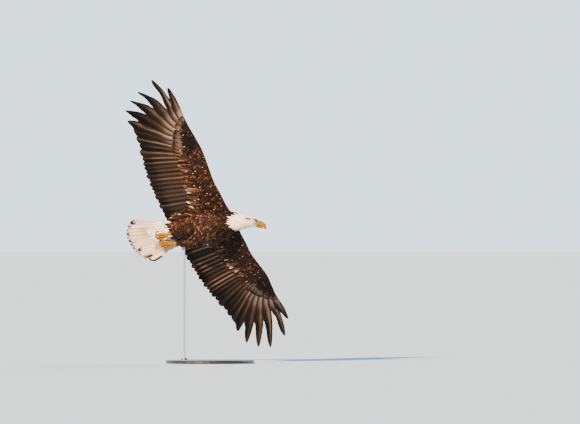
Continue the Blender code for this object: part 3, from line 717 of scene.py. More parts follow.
# %% Painting small feathers
def paint_brown(count, dark=0.5, fringe=0.5, flecks=0.0, spread=0.45):
    """Dark centre, rusty rims and tip, each vane with its own depth; a share of them, flecks, has a small
    buff drop at its tip."""
    t, rim = VANE_ROWS[None, :, None], RING_ACROSS**2
    own = rng.normal(0, 1, count)
    base = mix(BROWN, DARK, np.clip(np.broadcast_to(dark, count) + spread * own, 0, 1))[:, None, None]
    edge = np.maximum(0.7 * rim, ramp(t, 0.70, 0.98))
    edge = edge * np.clip(fringe + 0.45 * rng.normal(0, 1, count), 0.0, 1.5)[:, None, None]
    pigment = mix(mix(base, WARM, edge), TAN, 1.3 * (edge - 0.65))
    drop = ramp(t, 0.78, 0.94) * (1 - ramp(np.abs(RING_ACROSS), 0.0, 0.45))
    return mix(pigment, BUFF, column(rng.random(count) < flecks) * drop)


def paint_white(count, warm=0.4, stain=0.0):
    """White with a cream tone of its own, greyer towards the quill, with painted shade along the rims, and a
    brown stain on some tips.
    """
    t = VANE_ROWS[None, :, None]
    own = column(warm + 0.42 * rng.normal(0, 1, count))
    # the grey at the quill is the feather's own colour; the darker rims are painted shade where feathers
    # overlap
    shade = 0.42 * (1 - ramp(t, 0.0, 0.6)) + 0.36 * RING_ACROSS**4 + 0.15 * ramp(t, 0.86, 1.0)
    pigment = mix(mix(WHITE, CREAM, own), SHADE, shade)
    return mix(pigment, WARM, 0.6 * column(rng.random(count) < stain) * ramp(t, 0.6, 1.0))


print("darkest and palest pigments:", DARK.round(4), WHITE.round(2))

# %% [markdown]
# ## One skin
# Under the feathers, body, arms and thighs are one closed form with no seam. Each is made as a stack of
# rings a few millimetres inside its solid, which is the coat's depth, and a voxel remesh fuses them. It
# carries the same brown and white as the coat, so nothing shows through where feathers part.

# %% Skin
COAT_DEPTH, ARM_DEPTH, SKIN_VOXEL = 0.004, 0.0025, 0.0034


def skin_arm(side):
    """Rings round the fleshy front of a wing, from its edge to 85% of the chord and back under it."""
    share = np.linspace(0.0, 0.985, 60)[:, None]
    turn = full_turn(32)[None]
    chord = 0.02 + 0.83 * 0.5 * (1 - np.cos(turn))
    lead_x, lead_y, rear_x, rear_y, thick = arm_at(share)
    half = np.maximum(flesh(chord, thick) - ARM_DEPTH, 0.0017) * np.abs(np.sin(turn)) ** 0.5
    x = lead_x + (rear_x - lead_x) * chord - 0.002
    y = lead_y + (rear_y - lead_y) * chord
    return np.stack([x, side * y, wing_height(x, y) + np.sign(np.sin(turn)) * half], 2)


body_along = np.linspace(-0.282, 0.326, 90)
body_turn = full_turn(64)
thinner = COAT_DEPTH - 0.0015 * ramp(body_along, 0.2, 0.3) - 0.002 * ramp(-body_along, 0.24, 0.28)
thigh_share = np.linspace(0.0, 1.03, 30)
thigh_roll = on_thigh(thigh_share[:, None], body_turn[None, ::2], -0.0035)
rolls = [on_body(body_along[:, None], body_turn[None], -thinner[:, None])]
rolls += [skin_arm(1), skin_arm(-1), thigh_roll, thigh_roll * (1, -1, 1)]
print("rolls under the skin:", len(rolls))

# %% [markdown]
# ## Fusing the rolls
# The rolls run through each other at the shoulders and thighs. A voxel remesh gives one outer skin of
# small even quads, and a smoothing pass rounds the corners where they met. Booleans would leave long
# thin faces there.


# %% Fusing the rolls
def join_meshes(name, meshes):
    """One mesh from several, by shifting their face numbers past the points before them."""
    points, faces, start = [], [], 0
    for mesh in meshes:
        points += [tuple(v.co) for v in mesh.vertices]
        faces += [[start + v for v in polygon.vertices] for polygon in mesh.polygons]
        start = len(points)
    joined = bpy.data.meshes.new(name)
    joined.from_pydata(points, [], faces)
    return joined


def fused(name, meshes, voxel, smoothing):
    """The meshes joined, remeshed to one skin of small quads, and smoothed; the modifiers are applied."""
    obj = bpy.data.objects.new(name, join_meshes(name, meshes))
    bpy.context.scene.collection.objects.link(obj)
    remesh = obj.modifiers.new("fuse", "REMESH")
    remesh.mode = "VOXEL"
    remesh.voxel_size = voxel
    remesh.use_smooth_shade = True
    soften = obj.modifiers.new("soften", "SMOOTH")
    soften.iterations = smoothing
    soften.factor = 0.5
    graph = bpy.context.evaluated_depsgraph_get()
    mesh = bpy.data.meshes.new_from_object(obj.evaluated_get(graph))
    bpy.data.objects.remove(obj)
    mesh.name = name
    return mesh


skin_mesh = fused("skin", [stacked_mesh("roll", to_world(roll[None])) for roll in rolls], SKIN_VOXEL, 3)
print("skin:", len(skin_mesh.vertices), "points")

# %% [markdown]
# ## Colour of the skin
# The skin is pale where the coat is white: on the head, on the neck past its border, and on the rump.
# The border runs aslant round the neck, because the neck is turned. The fleshy solids give way to this
# skin.

# %% Colour of the skin
NECK_EDGE, NECK_SLANT, NECK_SLANT_AT = 0.168, 0.040, math.radians(130)


def neck_edge(angle):
    """Where white begins along the neck: 0.168 + 0.040 cos(angle - 130 degrees) squared."""
    return NECK_EDGE + NECK_SLANT * np.cos(angle - NECK_SLANT_AT) ** 2


def down_skin():
    """Down over skin: soft, matt and mottled, in the coat's own colours."""
    material, tree, shader = new_material("downy_skin", 0.85, Sheen_Weight=0.2)
    noise = grain(tree, 350.0, Detail=3.0)
    colour_by_pigment(tree, shader, remap(tree, noise, 0.3, 0.7, 0.7, 1.25))
    bump(tree, shader, noise, 0.6, 0.001)
    return material


skin_points = np.empty(len(skin_mesh.vertices) * 3)
skin_mesh.vertices.foreach_get("co", skin_points)
skin_local = (skin_points.reshape(-1, 3) - np.array(BIRD_PLACE)) @ TURN
middle, left_way, up_way, _ = body_frames(skin_local[:, 0])
off_middle = skin_local - middle
skin_angle = np.arctan2((off_middle * up_way).sum(1), (off_middle * left_way).sum(1))
on_neck = ramp(skin_local[:, 0], neck_edge(skin_angle), neck_edge(skin_angle) + 0.02)
on_neck = on_neck * (np.abs(skin_local[:, 1] - 0.02) < 0.075)
whiteness = np.maximum(on_neck, ramp(-skin_local[:, 0], 0.235, 0.245))
set_pigment(skin_mesh, mix(mix(DARK, BROWN, 0.3), CREAM, whiteness))
FLESH = ["head", "neck", "trunk", "tail_coverts"]
FLESH += [f"wing_{w}_{n}" for w in ("left", "right") for n in ("upper_arm", "forearm", "hand")]
FLESH += ["thigh_left", "thigh_right"]
DOWN = down_skin()
add_piece("skin", skin_mesh, DOWN, "brown_plumage", FLESH)

# %% [markdown]
# ## The body's coat
# Feathers grow in staggered rows, like tiles. A row's spacing, and its feathers' length and shape,
# change along the body: tiny and round on the face, narrow and pointed on the neck, broad and round on
# the breast and back. The rows run from the bill to the rump, and each feather lies towards the tail.

# %% Rows round the body
FEATHERING = (
    # along, exposed length, spacing, length, pointedness, lift of the tip
    (-0.240, 0.0140, 0.0180, 0.046, 0.0, 0.0012),
    (-0.100, 0.0140, 0.0170, 0.044, 0.0, 0.0014),
    (0.100, 0.0125, 0.0155, 0.040, 0.1, 0.0014),
    (0.165, 0.0105, 0.0125, 0.038, 0.6, 0.0016),
    (0.205, 0.0085, 0.0100, 0.036, 1.0, 0.0016),
    (0.250, 0.0064, 0.0078, 0.026, 1.0, 0.0012),
    (0.280, 0.0046, 0.0060, 0.016, 0.7, 0.0008),
    (0.300, 0.0036, 0.0047, 0.010, 0.4, 0.0006),
    (0.330, 0.0028, 0.0036, 0.006, 0.2, 0.0004),
)
FIRST_ROW, LAST_ROW = 0.326, -0.193


def even_angles(along, count, phase):
    """Angles that part the section's outline into equal lengths."""
    fine = np.linspace(0, 2 * np.pi, 241)
    outline = on_body(along, fine, 0.0)
    run = np.concatenate([[0], np.cumsum(np.linalg.norm(np.diff(outline, axis=0), axis=1))])
    wanted = (np.arange(count) + phase) / count * run[-1]
    return np.interp(wanted, run, fine), run[-1]


def body_rows():
    """Roots of all body feathers as (along, angle), row after row, each half a step round from the last."""
    roots, along, odd = [], FIRST_ROW, 0
    while along > LAST_ROW:
        exposed, spacing = through(FEATHERING, along)[0, :2]
        _, girth = even_angles(along, 1, 0)
        angles, _ = even_angles(along, max(8, int(girth / spacing)), 0.5 * odd)
        roots.append(np.stack([0 * angles + along, angles], 1))
        along -= exposed
        odd = 1 - odd
    return np.concatenate(roots)


roots = body_rows()
roots += rng.normal(0, 1, roots.shape) * (0.0006, 0.010)
print("roots on the body:", len(roots))

# %% [markdown]
# ## Laying a vane on the body
# A vane is worked out flat, in distances along, across and above. To lie on the body, along becomes a
# way towards the tail and across becomes an angle round it, so the vane bends with the skin and no
# feather stands off.


# %% Laying a vane on the body
def body_place(along0, angle0, swing):
    """Places a vane on the body: along runs to the tail, turned by swing, and across runs round it."""
    _, _, _, size = body_frames(along0)
    high = np.where(np.sin(angle0) > 0, size[:, 1], size[:, 2])
    radius = np.hypot(size[:, 0] * np.sin(angle0), high * np.cos(angle0))

    def place(along, across, height):
        """The point at these distances from each vane's root."""
        back = along * np.cos(column(swing)) - across * np.sin(column(swing))
        round_it = along * np.sin(column(swing)) + across * np.cos(column(swing))
        return on_body(column(along0) - back, column(angle0) + round_it / column(radius), height)

    return place


print("feathers are swung by up to about", round(math.degrees(2 * 0.10)), "degrees")

# %% [markdown]
# ## Where the eyes are, and which feathers stay
# The eyes sit in the head's own frame, a little behind the bill and turned slightly forward. Feathers
# that would cover an eye are left out. A feather is white if most of it lies before the neck's border,
# and that choice is a little random, which gives the border its ragged points.

# %% Eyes, and the feathers that stay
HEAD_CENTRE, HEAD_LEFT, HEAD_UP, _ = (v[0] for v in body_frames([0.329]))
HEAD_FORWARD = np.cross(HEAD_LEFT, HEAD_UP)
EYE_BACK, EYE_OUT, EYE_UP, EYE_RADIUS = 0.021, 0.0190, 0.0055, 0.0095
EYES = {
    word: HEAD_CENTRE - EYE_BACK * HEAD_FORWARD + side * EYE_OUT * HEAD_LEFT + EYE_UP * HEAD_UP
    for word, side in SIDES.items()
}
skin_place = on_body(roots[:, 0], roots[:, 1], 0.0)
shape_of = through(FEATHERING, roots[:, 0])
length = shape_of[:, 2] * rng.uniform(0.9, 1.1, len(roots))
tips = on_body(roots[:, 0] - length, roots[:, 1], 0.0)
parts = (skin_place, tips, (skin_place + tips) / 2)
near_eye = np.min([np.linalg.norm(part - eye, axis=1) for eye in EYES.values() for part in parts], 0)
keep = near_eye > EYE_RADIUS + 0.0006
roots, shape_of, length = roots[keep], shape_of[keep], length[keep]
tip_along = roots[:, 0] - 0.85 * length
is_white = tip_along + rng.normal(0, 0.0035, len(roots)) > neck_edge(roots[:, 1])
print("body feathers:", len(roots), "of them white:", int(is_white.sum()))

# %% [markdown]
# ## Marks and painted shade of the face
# Between eye and bill an eagle's skin is bare and yellow. Painted shade from the brow darkens a stripe just
# over the eye, and two faint smudges lie behind the eye. Each is a soft spot painted on the feathers that
# happen to lie there.


# %% Marks and painted shade of the face
FACE_YELLOW, FACE_DARK, THROAT_SHADE = linear("#8e6608"), linear("#24160c"), linear("#5a4030")
DARK_SPOTS = (
    # ahead of the eye, above it, length, height, strength
    # the first spot, just over the eye, is painted shade from the brow
    (0.002, 0.0085, 0.014, 0.0055, 1.2),
    (0.010, 0.0010, 0.0035, 0.007, 0.8),
    (-0.033, -0.001, 0.008, 0.006, 1.4),
    (-0.049, -0.003, 0.008, 0.007, 1.1),
)


def face_marks_and_shade(pigment, points):
    """Each mark is a bell curve of the distances ahead of the eye and above it, on the eye's own side."""
    for word, side in SIDES.items():
        ahead, up = (points - EYES[word]) @ HEAD_FORWARD, (points - EYES[word]) @ HEAD_UP
        here = (points - HEAD_CENTRE) @ HEAD_LEFT * side > 0.002
        yellow = ramp(ahead, 0.006, 0.014) * hump(up, -0.004, 0.010)
        yellow += hump(ahead, 0.004, 0.014) * hump(up, -0.017, 0.005)
        spots = (hump(ahead, a, long_) * hump(up, b, high) * c for a, b, long_, high, c in DARK_SPOTS)
        pigment = mix(pigment, FACE_YELLOW, here * yellow)
        pigment = mix(pigment, FACE_DARK, np.minimum(1.1 * here * sum(spots), 0.95))
    return pigment


print("marks on each side of the face:", 2 + len(DARK_SPOTS))

# %% [markdown]
# ## The body coat
# Head, neck and trunk are three pieces, each within the size that a part's mesh may have. The breast is
# darker than the belly, and the throat has a line of shade on its lower left.

# %% Body coat, in three pieces
NAPE = 0.262
for name, chosen in (
    ("coat_head", is_white & (roots[:, 0] > NAPE)),
    ("coat_neck", is_white & (roots[:, 0] <= NAPE)),
    ("coat_trunk", ~is_white),
):
    along0, angle0 = roots[chosen].T
    count = len(along0)
    depth = np.interp(along0, [0.2, 0.3], [COAT_DEPTH, 0.0022])
    rings, local = vanes(
        body_place(along0, angle0, rng.normal(0, 0.10, count)),
        length[chosen],
        shape_of[chosen, 1] * 0.72,
        -depth - 0.0008,
        shape_of[chosen, 4] * rng.uniform(0.3, 1.6, count),
        point=np.clip(shape_of[chosen, 3], 0, 1),
        thickness=np.interp(along0, [0.2, 0.3], [0.0006, 0.0003])[:, None, None],
    )
    unwrap = np.stack([angle0 / (2 * np.pi) * 0.98 + 0.01, (along0 + 0.3) / 0.66], 1)
    if name == "coat_trunk":
        pigment = paint_brown(count, dark=0.35, fringe=0.75)
        pigment = pigment * column(1 - 0.45 * ramp(along0, 0.04, 0.14))[..., None]
        coat(name, rings, local, unwrap, pigment, BODY_FEATHER, "brown_plumage")
    else:
        pigment = face_marks_and_shade(paint_white(count, warm=0.45, stain=0.02), rings)
        pigment = mix(pigment, THROAT_SHADE, column(0.55 * hump(angle0 % (2 * np.pi), 5.15, 0.34)))
        coat(name, rings, local, unwrap, pigment, WHITE_FEATHER, "white_plumage")

# %% [markdown]
# ## Rump and tail coverts
# White coverts spread over and under the roots of the tail feathers. They lie in a fan, so each one's
# direction turns outwards with its distance from the middle.


# %% Rump coat
def plan_place(surface, x0, y0, swing, face, side=1):
    """Places a vane over a plan: along runs back and, by swing, outwards; surface gives the height."""

    def place(along, across, height):
        """The point at these distances from each vane's root."""
        turn = column(swing)
        x = column(x0) - along * np.cos(turn) - across * np.sin(turn)
        y = column(y0) + along * np.sin(turn) - across * np.cos(turn)
        return surface(x, y, column(face), height) * (1, side, 1)

    return place


# root and length of each row's feathers
RUMP_ROWS = (
    (-0.185, 0.052),
    (-0.203, 0.055),
    (-0.222, 0.058),
    (-0.243, 0.060),
    (-0.266, 0.066),
    (-0.288, 0.070),
)
RUMP_SPACING = 0.0150
rump = []
for row, (x_root, long_) in enumerate(RUMP_ROWS):
    half = np.interp(-x_root, [0.14, 0.2, 0.24, 0.285], [0.085, 0.089, 0.100, 0.112])
    steps = int(2 * half / RUMP_SPACING)
    y_root = (np.arange(steps) + 0.5 + 0.5 * (row % 2) - 0.25) / steps * 2 - 1
    for face in (1, -1):
        rump += [(x_root, 0.97 * y * half, long_, face) for y in y_root]
rump = np.array(rump)
count = len(rump)
swing = rump[:, 1] * 2.3 + rng.normal(0, 0.05, count)
rings, local = vanes(
    plan_place(on_rump, rump[:, 0], rump[:, 1], swing, rump[:, 3]),
    rump[:, 2] * rng.uniform(0.85, 1.12, count),
    np.full(count, 0.0125),
    np.full(count, -0.0040),
    rng.uniform(0.0004, 0.0022, count),
    point=0.15,
)
unwrap = np.stack([0.25 + 0.5 * (rump[:, 3] > 0) + rump[:, 1] * 1.8, -rump[:, 0] * 2], 1)
# painted shadow of the feet, cast on the under coverts of one side
painted_foot_shadow = 0.85 * ramp(rump[:, 1], 0.0, 0.06) * (rump[:, 3] < 0)
pigment = mix(paint_white(count, 0.5, 0.03), SHADE, column(painted_foot_shadow))
coat("coat_tail_coverts", rings, local, unwrap, pigment, WHITE_FEATHER, "white_plumage")

# %% [markdown]
# ## Thighs
# A bald eagle wears loose brown trousers down to a bare yellow shank. Their feathers run round the roll
# in rows, as on the body, and those that would grow inside the trunk are left out.

# %% Thigh coats
THIGH_LENGTH, THIGH_SPACING, THIGH_DARKENING = 0.155, 0.0125, 0.5
for word, side in SIDES.items():
    rows = []
    for row, share in enumerate(np.arange(0.02, 0.97, 0.066)):
        size = through(THIGH, share)[0, 3:5].mean()
        steps = int(2 * math.pi * size / THIGH_SPACING)
        rows += [(share, (k + 0.5 * (row % 2)) / steps * 2 * math.pi) for k in range(steps)]
    rows = np.array(rows)
    places = on_thigh(rows[:, 0], rows[:, 1], 0.0)
    _, _, _, size = body_frames(places[:, 0])
    inside = (places[:, 1] / size[:, 0]) ** 2 + (places[:, 2] / size[:, 2]) ** 2 < 0.8
    rows = rows[~inside]
    count = len(rows)

    def place(along, across, height, rows=rows, side=side):
        """The point of the thigh at these distances from each vane's root."""
        size = through(THIGH, rows[:, 0])[:, 3:5].mean(1)
        bent = column(rows[:, 1]) + across / column(size)
        return on_thigh(column(rows[:, 0]) + along / THIGH_LENGTH, bent, height) * (1, side, 1)

    rings, local = vanes(
        place,
        np.interp(rows[:, 0], [0, 1], [0.036, 0.026]) * rng.uniform(0.9, 1.1, count),
        np.interp(rows[:, 0], [0, 1], [0.0105, 0.0068]),
        np.full(count, -0.0042),
        rng.uniform(0.0004, 0.0024, count),
        point=0.3,
    )
    unwrap = np.stack([rows[:, 1] / 6.4, rows[:, 0] * 0.95 + 0.02], 1)
    pigment = THIGH_DARKENING * paint_brown(count, 0.35, 0.7)
    coat(f"coat_thigh_{word}", rings, local, unwrap, pigment, BODY_FEATHER, "brown_plumage")

# %% [markdown]
# ## Small coverts of the wings
# From the leading edge back, rows of small coverts tile both faces of the arm: marginal ones that wrap
# round the edge, lesser ones, and a row of longer median ones. Their size follows the chord, so they
# shrink along the hand. Below, the patch at the wrist is nearly black, and pale flecks are scattered
# over the brown.

# %% Lesser and median coverts
ROW_TIPS = np.array([0.035, 0.075, 0.120, 0.170, 0.225, 0.285, 0.350, 0.420, 0.495, 0.575, 0.660, 0.790])
ROW_LONG = np.append(2.4 * np.diff(ROW_TIPS, prepend=0.0)[:-1], 0.30)
FACES = {"upper": 1, "under": -1}


def flight_swing(share):
    """How far outwards the flight feathers point at this share of the arm, in radians from straight back."""
    shares = (0, 0.3, 0.55, 0.70, 0.80, 0.90, 1.0)
    swings = (0.02, 0.12, 0.28, 0.45, 0.75, 1.05, 1.35)
    return np.interp(share, shares, swings)


def covert_rows():
    """Roots of the small coverts: share, run of root and tip from the leading edge, half width, row."""
    found = []
    for row, (tip, long_) in enumerate(zip(ROW_TIPS, ROW_LONG)):
        share = np.linspace(0.03, 0.985, 500)
        lead_x, lead_y, rear_x, rear_y, _ = arm_at(share)
        chord = np.hypot(lead_x - rear_x, lead_y - rear_y)
        spacing = np.clip(0.62 * long_ * chord, 0.0055, 0.0165)
        density = np.gradient((lead_y + rear_y) / 2) / spacing
        order = np.cumsum(density)
        wanted = np.arange(0.5 * (row % 2), order[-1])
        at = np.interp(wanted, order, share)
        chord_at, gap = np.interp(at, share, chord), np.interp(at, share, spacing)
        run_tip = tip * chord_at
        run_root = np.maximum(run_tip - long_ * chord_at, -0.006)
        found.append(np.stack([at, run_root, run_tip, 0.70 * gap, 0 * at + row], 1))
    return np.concatenate(found)


def inside_body(points, margin):
    """Whether points lie deeper in the body's oval section than margin: 1 is its outline, 0 its middle."""
    _, _, _, size = body_frames(points[:, 0])
    high = np.where(points[:, 2] > 0, size[:, 1], size[:, 2])
    return (points[:, 1] / size[:, 0]) ** 2 + (points[:, 2] / high) ** 2 < margin


print("small coverts on each face of a wing:", len(covert_rows()))

# %% [markdown]
# ## Laying the small coverts
# A covert points back at the body and swings outwards towards the hand, half as much as the flight
# feathers do. The first rows start under the leading edge, so they wrap round it. Both wings share one
# set of numbers and mirror it.

# %% Laying the small coverts
for word_face, face in FACES.items():
    rows = covert_rows()
    rows = rows[~inside_body(on_arm(rows[:, 0], rows[:, 2], face, 0.0), 0.85)]
    count = len(rows)
    share, run_root, run_tip, half, row = rows.T
    swing = 0.5 * flight_swing(share) * ramp(run_tip, 0.0, 0.05) + rng.normal(0, 0.07, count)
    per_metre = 1 / np.interp(share, ARM_STEPS, np.gradient(ARM_Y, ARM_STEPS))
    long_ = (run_tip - run_root) * rng.uniform(0.92, 1.08, count) / np.cos(swing)
    rise = np.interp(run_tip / 0.2, [0, 0.1, 1], [0.3, 1, 1.4]) * rng.uniform(0.4, 1.4, count) * 0.0012
    for word, side in SIDES.items():

        def place(along, across, height, side=side):
            """The point of the arm at these distances from each vane's root."""
            turn = column(swing)
            run = column(run_root) + along * np.cos(turn) - across * np.sin(turn)
            out = column(share) + (along * np.sin(turn) + across * np.cos(turn)) * column(per_metre)
            return on_arm(np.clip(out, 0, 1), run, face, height) * (1, side, 1)

        rings, local = vanes(place, long_, half, np.full(count, -0.0032), rise, point=0.1)
        wrist = ramp(share, 0.66, 0.74) * (1 - ramp(row, 9.5, 11))
        dark = 0.55 + (0.45 * wrist if face < 0 else 0.15)
        fringe = (0.45 - 0.42 * wrist) if face < 0 else np.full(count, 0.40)
        flecks = (0.045 + 0.05 * ramp(row, 7, 11)) * (1 - 0.8 * wrist) if face < 0 else 0.004
        unwrap = np.stack([share * 0.96 + 0.02, run_tip / 0.32 + 0.02], 1)
        pigment = paint_brown(count, dark, fringe, flecks)
        name = f"coat_wing_{word}_{word_face}_small"
        coat(name, rings, local, unwrap, pigment, BODY_FEATHER, "brown_plumage")

# %% [markdown]
# ## Flight feathers
# A flight feather is a stiff blade with a shaft (the rachis), a narrow vane ahead of it and a broad one
# behind. Seen from above, each one's leading edge lies over its outer neighbour; seen from below, each
# one's broad trailing vane lies over the inner neighbour. All lie in one gently curved surface, the
# wing's. Below they are greyer than above, pale at the base and along the shaft, and darkest at the
# tip.

# %% Where flight feathers root and end
TIPS = (
    # feather (0 is the outermost primary), tip x, y, lift over the wing's surface
    (0, 0.110, 0.902, -0.011),
    (1, 0.054, 0.999, -0.010),
    (2, -0.017, 0.997, -0.056),
    (3, -0.077, 0.962, -0.042),
    (4, -0.130, 0.908, -0.021),
    (5, -0.155, 0.823, 0.003),
    (6, -0.156, 0.745, 0.006),
    (8, -0.164, 0.645, 0.004),
    (10, -0.180, 0.555, 0.000),
    (14, -0.200, 0.430, 0.000),
    (19, -0.211, 0.275, 0.000),
    (24, -0.210, 0.102, 0.000),
)
ROOTS = (
    # feather, share of the arm where it leaves the coverts
    (-0.5, 1.000),
    (0.8, 1.000),
    (2.0, 0.955),
    (4.0, 0.895),
    (6.0, 0.832),
    (9.0, 0.735),
    (10.0, 0.700),
    (17.0, 0.408),
    (24.0, 0.094),
)
FINGERS, PRIMARIES, FLIGHT = 6, 10, 25
HAND_CORNER, SHINGLE, STEP = 0.8, 0.07, 0.0017
NOTCHES, NOTCH_LENGTH, TAPER_START = (0.49, 0.28, 0.48, 0.56, 0.66, 0.80), 0.035, 0.72
VANE_LEAD, VANE_TRAIL_MOST, FINGER_LEAD, FINGER_TRAIL_SHARE = 0.012, 0.046, 0.0115, 0.60
FINGER_TRAILS = (0.022, 0.034, 0.035, 0.036, 0.038, 0.038)
TWIST, TWIST_LATER, LIFT_START, LIFT_POWER = -0.25, 0.20, 0.20, 1.7


def feather_root(feather):
    """Where a flight feather leaves the coverts: the arm's rear edge, or for the first ones its end."""
    at = through(ARM, np.minimum(through(ROOTS, feather)[:, 0], 1.0))
    forward = np.clip((HAND_CORNER - np.ravel(feather)) / (HAND_CORNER + 0.5), 0, 1)
    x = at[:, 2] + (at[:, 0] - at[:, 2]) * forward
    y = at[:, 3] + (at[:, 1] - at[:, 3]) * forward
    return np.stack([x, y], 1)


def shaft_point(feather, t):
    """Point at share t from root to tip of these feathers, on the wing's surface plus the tip's lift times
    ((t - 0.2) / 0.8)^1.7."""
    shape, (feather, t) = spread_out(feather, t)
    root, tip = feather_root(feather), through(TIPS, feather)
    x = root[:, 0] + (tip[:, 0] - root[:, 0]) * t
    y = root[:, 1] + (tip[:, 1] - root[:, 1]) * t
    lift = tip[:, 2] * (np.maximum(0, t - LIFT_START) / (1 - LIFT_START)) ** LIFT_POWER
    return np.stack([x, y, wing_height(x, y) + lift], 1).reshape(*shape, 3)


finger_run = np.linalg.norm(shaft_point(3, 1.0) - shaft_point(3, 0.0))
print("shaft of the fourth primary from outside:", round(float(finger_run), 3), "m")

# %% [markdown]
# ## The section of a blade
# Each section is a ring of 9 points above and 7 below, because a real vane is two webs on a quill. The
# shaft is a small ridge on both sides, the webs arch down towards their rims, and the rims part here
# and there as barbs do.

# %% The section of a blade
BLADE_TOP = np.array([-1, -0.78, -0.42, -0.07, 0, 0.07, 0.42, 0.78, 1])
BLADE_ACROSS = np.concatenate([BLADE_TOP, BLADE_TOP[-2:0:-1]])
BLADE_FACE = np.array([0] + [1] * 7 + [0] + [-1] * 7)
BLADE_HALF = 0.0003


def blade_height(t, half):
    """Half thickness over the ring: 0.3 mm of vane, a shaft ridge that tapers, and rims that arch down."""
    shaft = (np.abs(BLADE_ACROSS) < 0.01) + 0.35 * (np.abs(np.abs(BLADE_ACROSS) - 0.07) < 0.01)
    ridge = np.where(BLADE_FACE > 0, 0.0008, 0.0014) * shaft * (1 - 0.85 * np.clip(t, 0, 1))
    return BLADE_FACE * (BLADE_HALF + ridge) - 0.10 * half * np.abs(BLADE_ACROSS) ** 2


def ragged(t, phase):
    """Rim noise from about 0.94 to 1: a fast sine and a saw tooth, as barbs part towards the tip."""
    saw = np.mod(t * 3.1 + phase, 1.0)
    notch = np.where(saw < 0.1, 1 - saw / 0.1, 0) * ramp(t, 0.2, 0.6) * (1 - ramp(t, 0.7, 0.9))
    return 1 - 0.05 * notch - 0.008 * np.sin(t * 60 + 9 * phase)


print("points in a blade's ring:", len(BLADE_ACROSS))

# %% [markdown]
# ## The two kinds of blade
# The six outer primaries stand free as fingers. Each narrows at a notch, which leaves a slot for the
# air, and twists its leading edge down. The others overlap into one sheet, so each follows the fan
# between its neighbours and only its tip is its own.

# %% Outer primaries
FINGER_ROWS = np.concatenate([np.linspace(-0.14, 0.9, 40), 1 - 0.1 * np.linspace(0.85, 0, 9) ** 1.6])


def finger_blade(feather):
    """Outer primary: past its notch the vane narrows into a finger, by a logistic step, turns its leading
    edge down, and closes to a tip as (1 - u squared)^0.6."""
    t = FINGER_ROWS[:, None]
    shaft, behind_it = shaft_point(feather, t[:, 0]), shaft_point(feather + 1, t[:, 0])
    axis = (shaft[-1] - shaft[0]) / np.linalg.norm(shaft[-1] - shaft[0])
    lead = np.array([axis[1], -axis[0], 0.0]) / math.hypot(axis[0], axis[1])
    room = np.minimum((shaft - behind_it) @ lead, VANE_TRAIL_MOST)[:, None]
    past = (t - NOTCHES[feather]) / NOTCH_LENGTH
    notch, free = (1 / (1 + np.exp(past - later / NOTCH_LENGTH)) for later in (0.0, TWIST_LATER))
    taper = np.clip(1 - np.maximum(0, (t - TAPER_START) / (1 - TAPER_START)) ** 2, 0, 1) ** 0.6
    start = 0.25 + 0.75 * ramp(t, -0.14, 0.10)
    ahead = (FINGER_LEAD + (VANE_LEAD - FINGER_LEAD) * notch) * taper * start * ragged(t, feather * 0.37)
    finger = np.minimum(FINGER_TRAILS[feather], FINGER_TRAIL_SHARE * room)
    behind = (finger + (room * 1.04 - finger) * notch) * taper * start * ragged(t, feather * 0.61 + 0.4)
    half = np.where(BLADE_ACROSS < 0, ahead, behind) + 0.0008
    offset = -BLADE_ACROSS * half
    blade = shaft[:, None] + lead * offset[..., None]
    lean = wing_height(blade[..., 0], blade[..., 1]) - wing_height(shaft[:, 0], shaft[:, 1])[:, None]
    blade[..., 2] += (lean + SHINGLE * offset) * free + TWIST * offset * (1 - free)
    blade[..., 2] += blade_height(t, half)
    return blade, t * np.ones_like(half), BLADE_ACROSS * half


print("points in an outer primary:", finger_blade(0)[0].shape[:2])

# %% Inner primaries and secondaries
ROW_ROWS = np.concatenate([np.linspace(-0.30, 0.86, 30), 1 - 0.14 * np.linspace(0.88, 0, 9) ** 1.5])
# all in spaces between feathers, except the pitch in metres
ROW_LEAD, ROW_TRAIL, ROW_SHAFT, ROW_PITCH = -0.50, 0.86, -0.10, 0.024


def row_blade(feather):
    """Inner primary or secondary: columns from half a space ahead to 0.86 of one behind the middle line,
    shortened towards both rims into a round tip."""
    t = ROW_ROWS[:, None]
    reach = BLADE_ACROSS * np.where(BLADE_ACROSS < 0, ROW_SHAFT - ROW_LEAD, ROW_TRAIL - ROW_SHAFT)
    quill = 0.35 + 0.65 * ramp(t, -0.30, 0.0)
    spread = 1 - 0.12 * ramp(t, 0.85, 1.0) ** 2
    place = ROW_SHAFT + reach * ragged(t, feather * 0.43) * quill * spread
    round_tip = 0.085 * np.abs((place - 0.10) / 0.60) ** 2.8
    length = 1 - (round_tip + 0.020 + 0.020 * math.sin(2.6 * feather)) * ramp(t, 0.3, 1.0)
    across = (place - ROW_SHAFT) * ROW_PITCH
    blade = shaft_point(feather + place, t * length)
    blade[..., 2] += STEP * -place * (0.35 + 0.65 * ramp(t, 0.0, 0.3))
    blade[..., 2] += blade_height(t, np.abs(across))
    return blade, t * np.ones_like(place), across


print("points in a secondary:", row_blade(12)[0].shape[:2])

# %% [markdown]
# ## Colours of the flight feathers
# Seen from below, the base of a primary is pale and its tip nearly black, while the secondaries are an even
# grey brown. The trailing rim of each feather carries painted shade, and its shaft is a pale line. The upper
# side is dark brown.

# %% Painting flight feathers
SHAFT_TAN = linear("#ac886d")


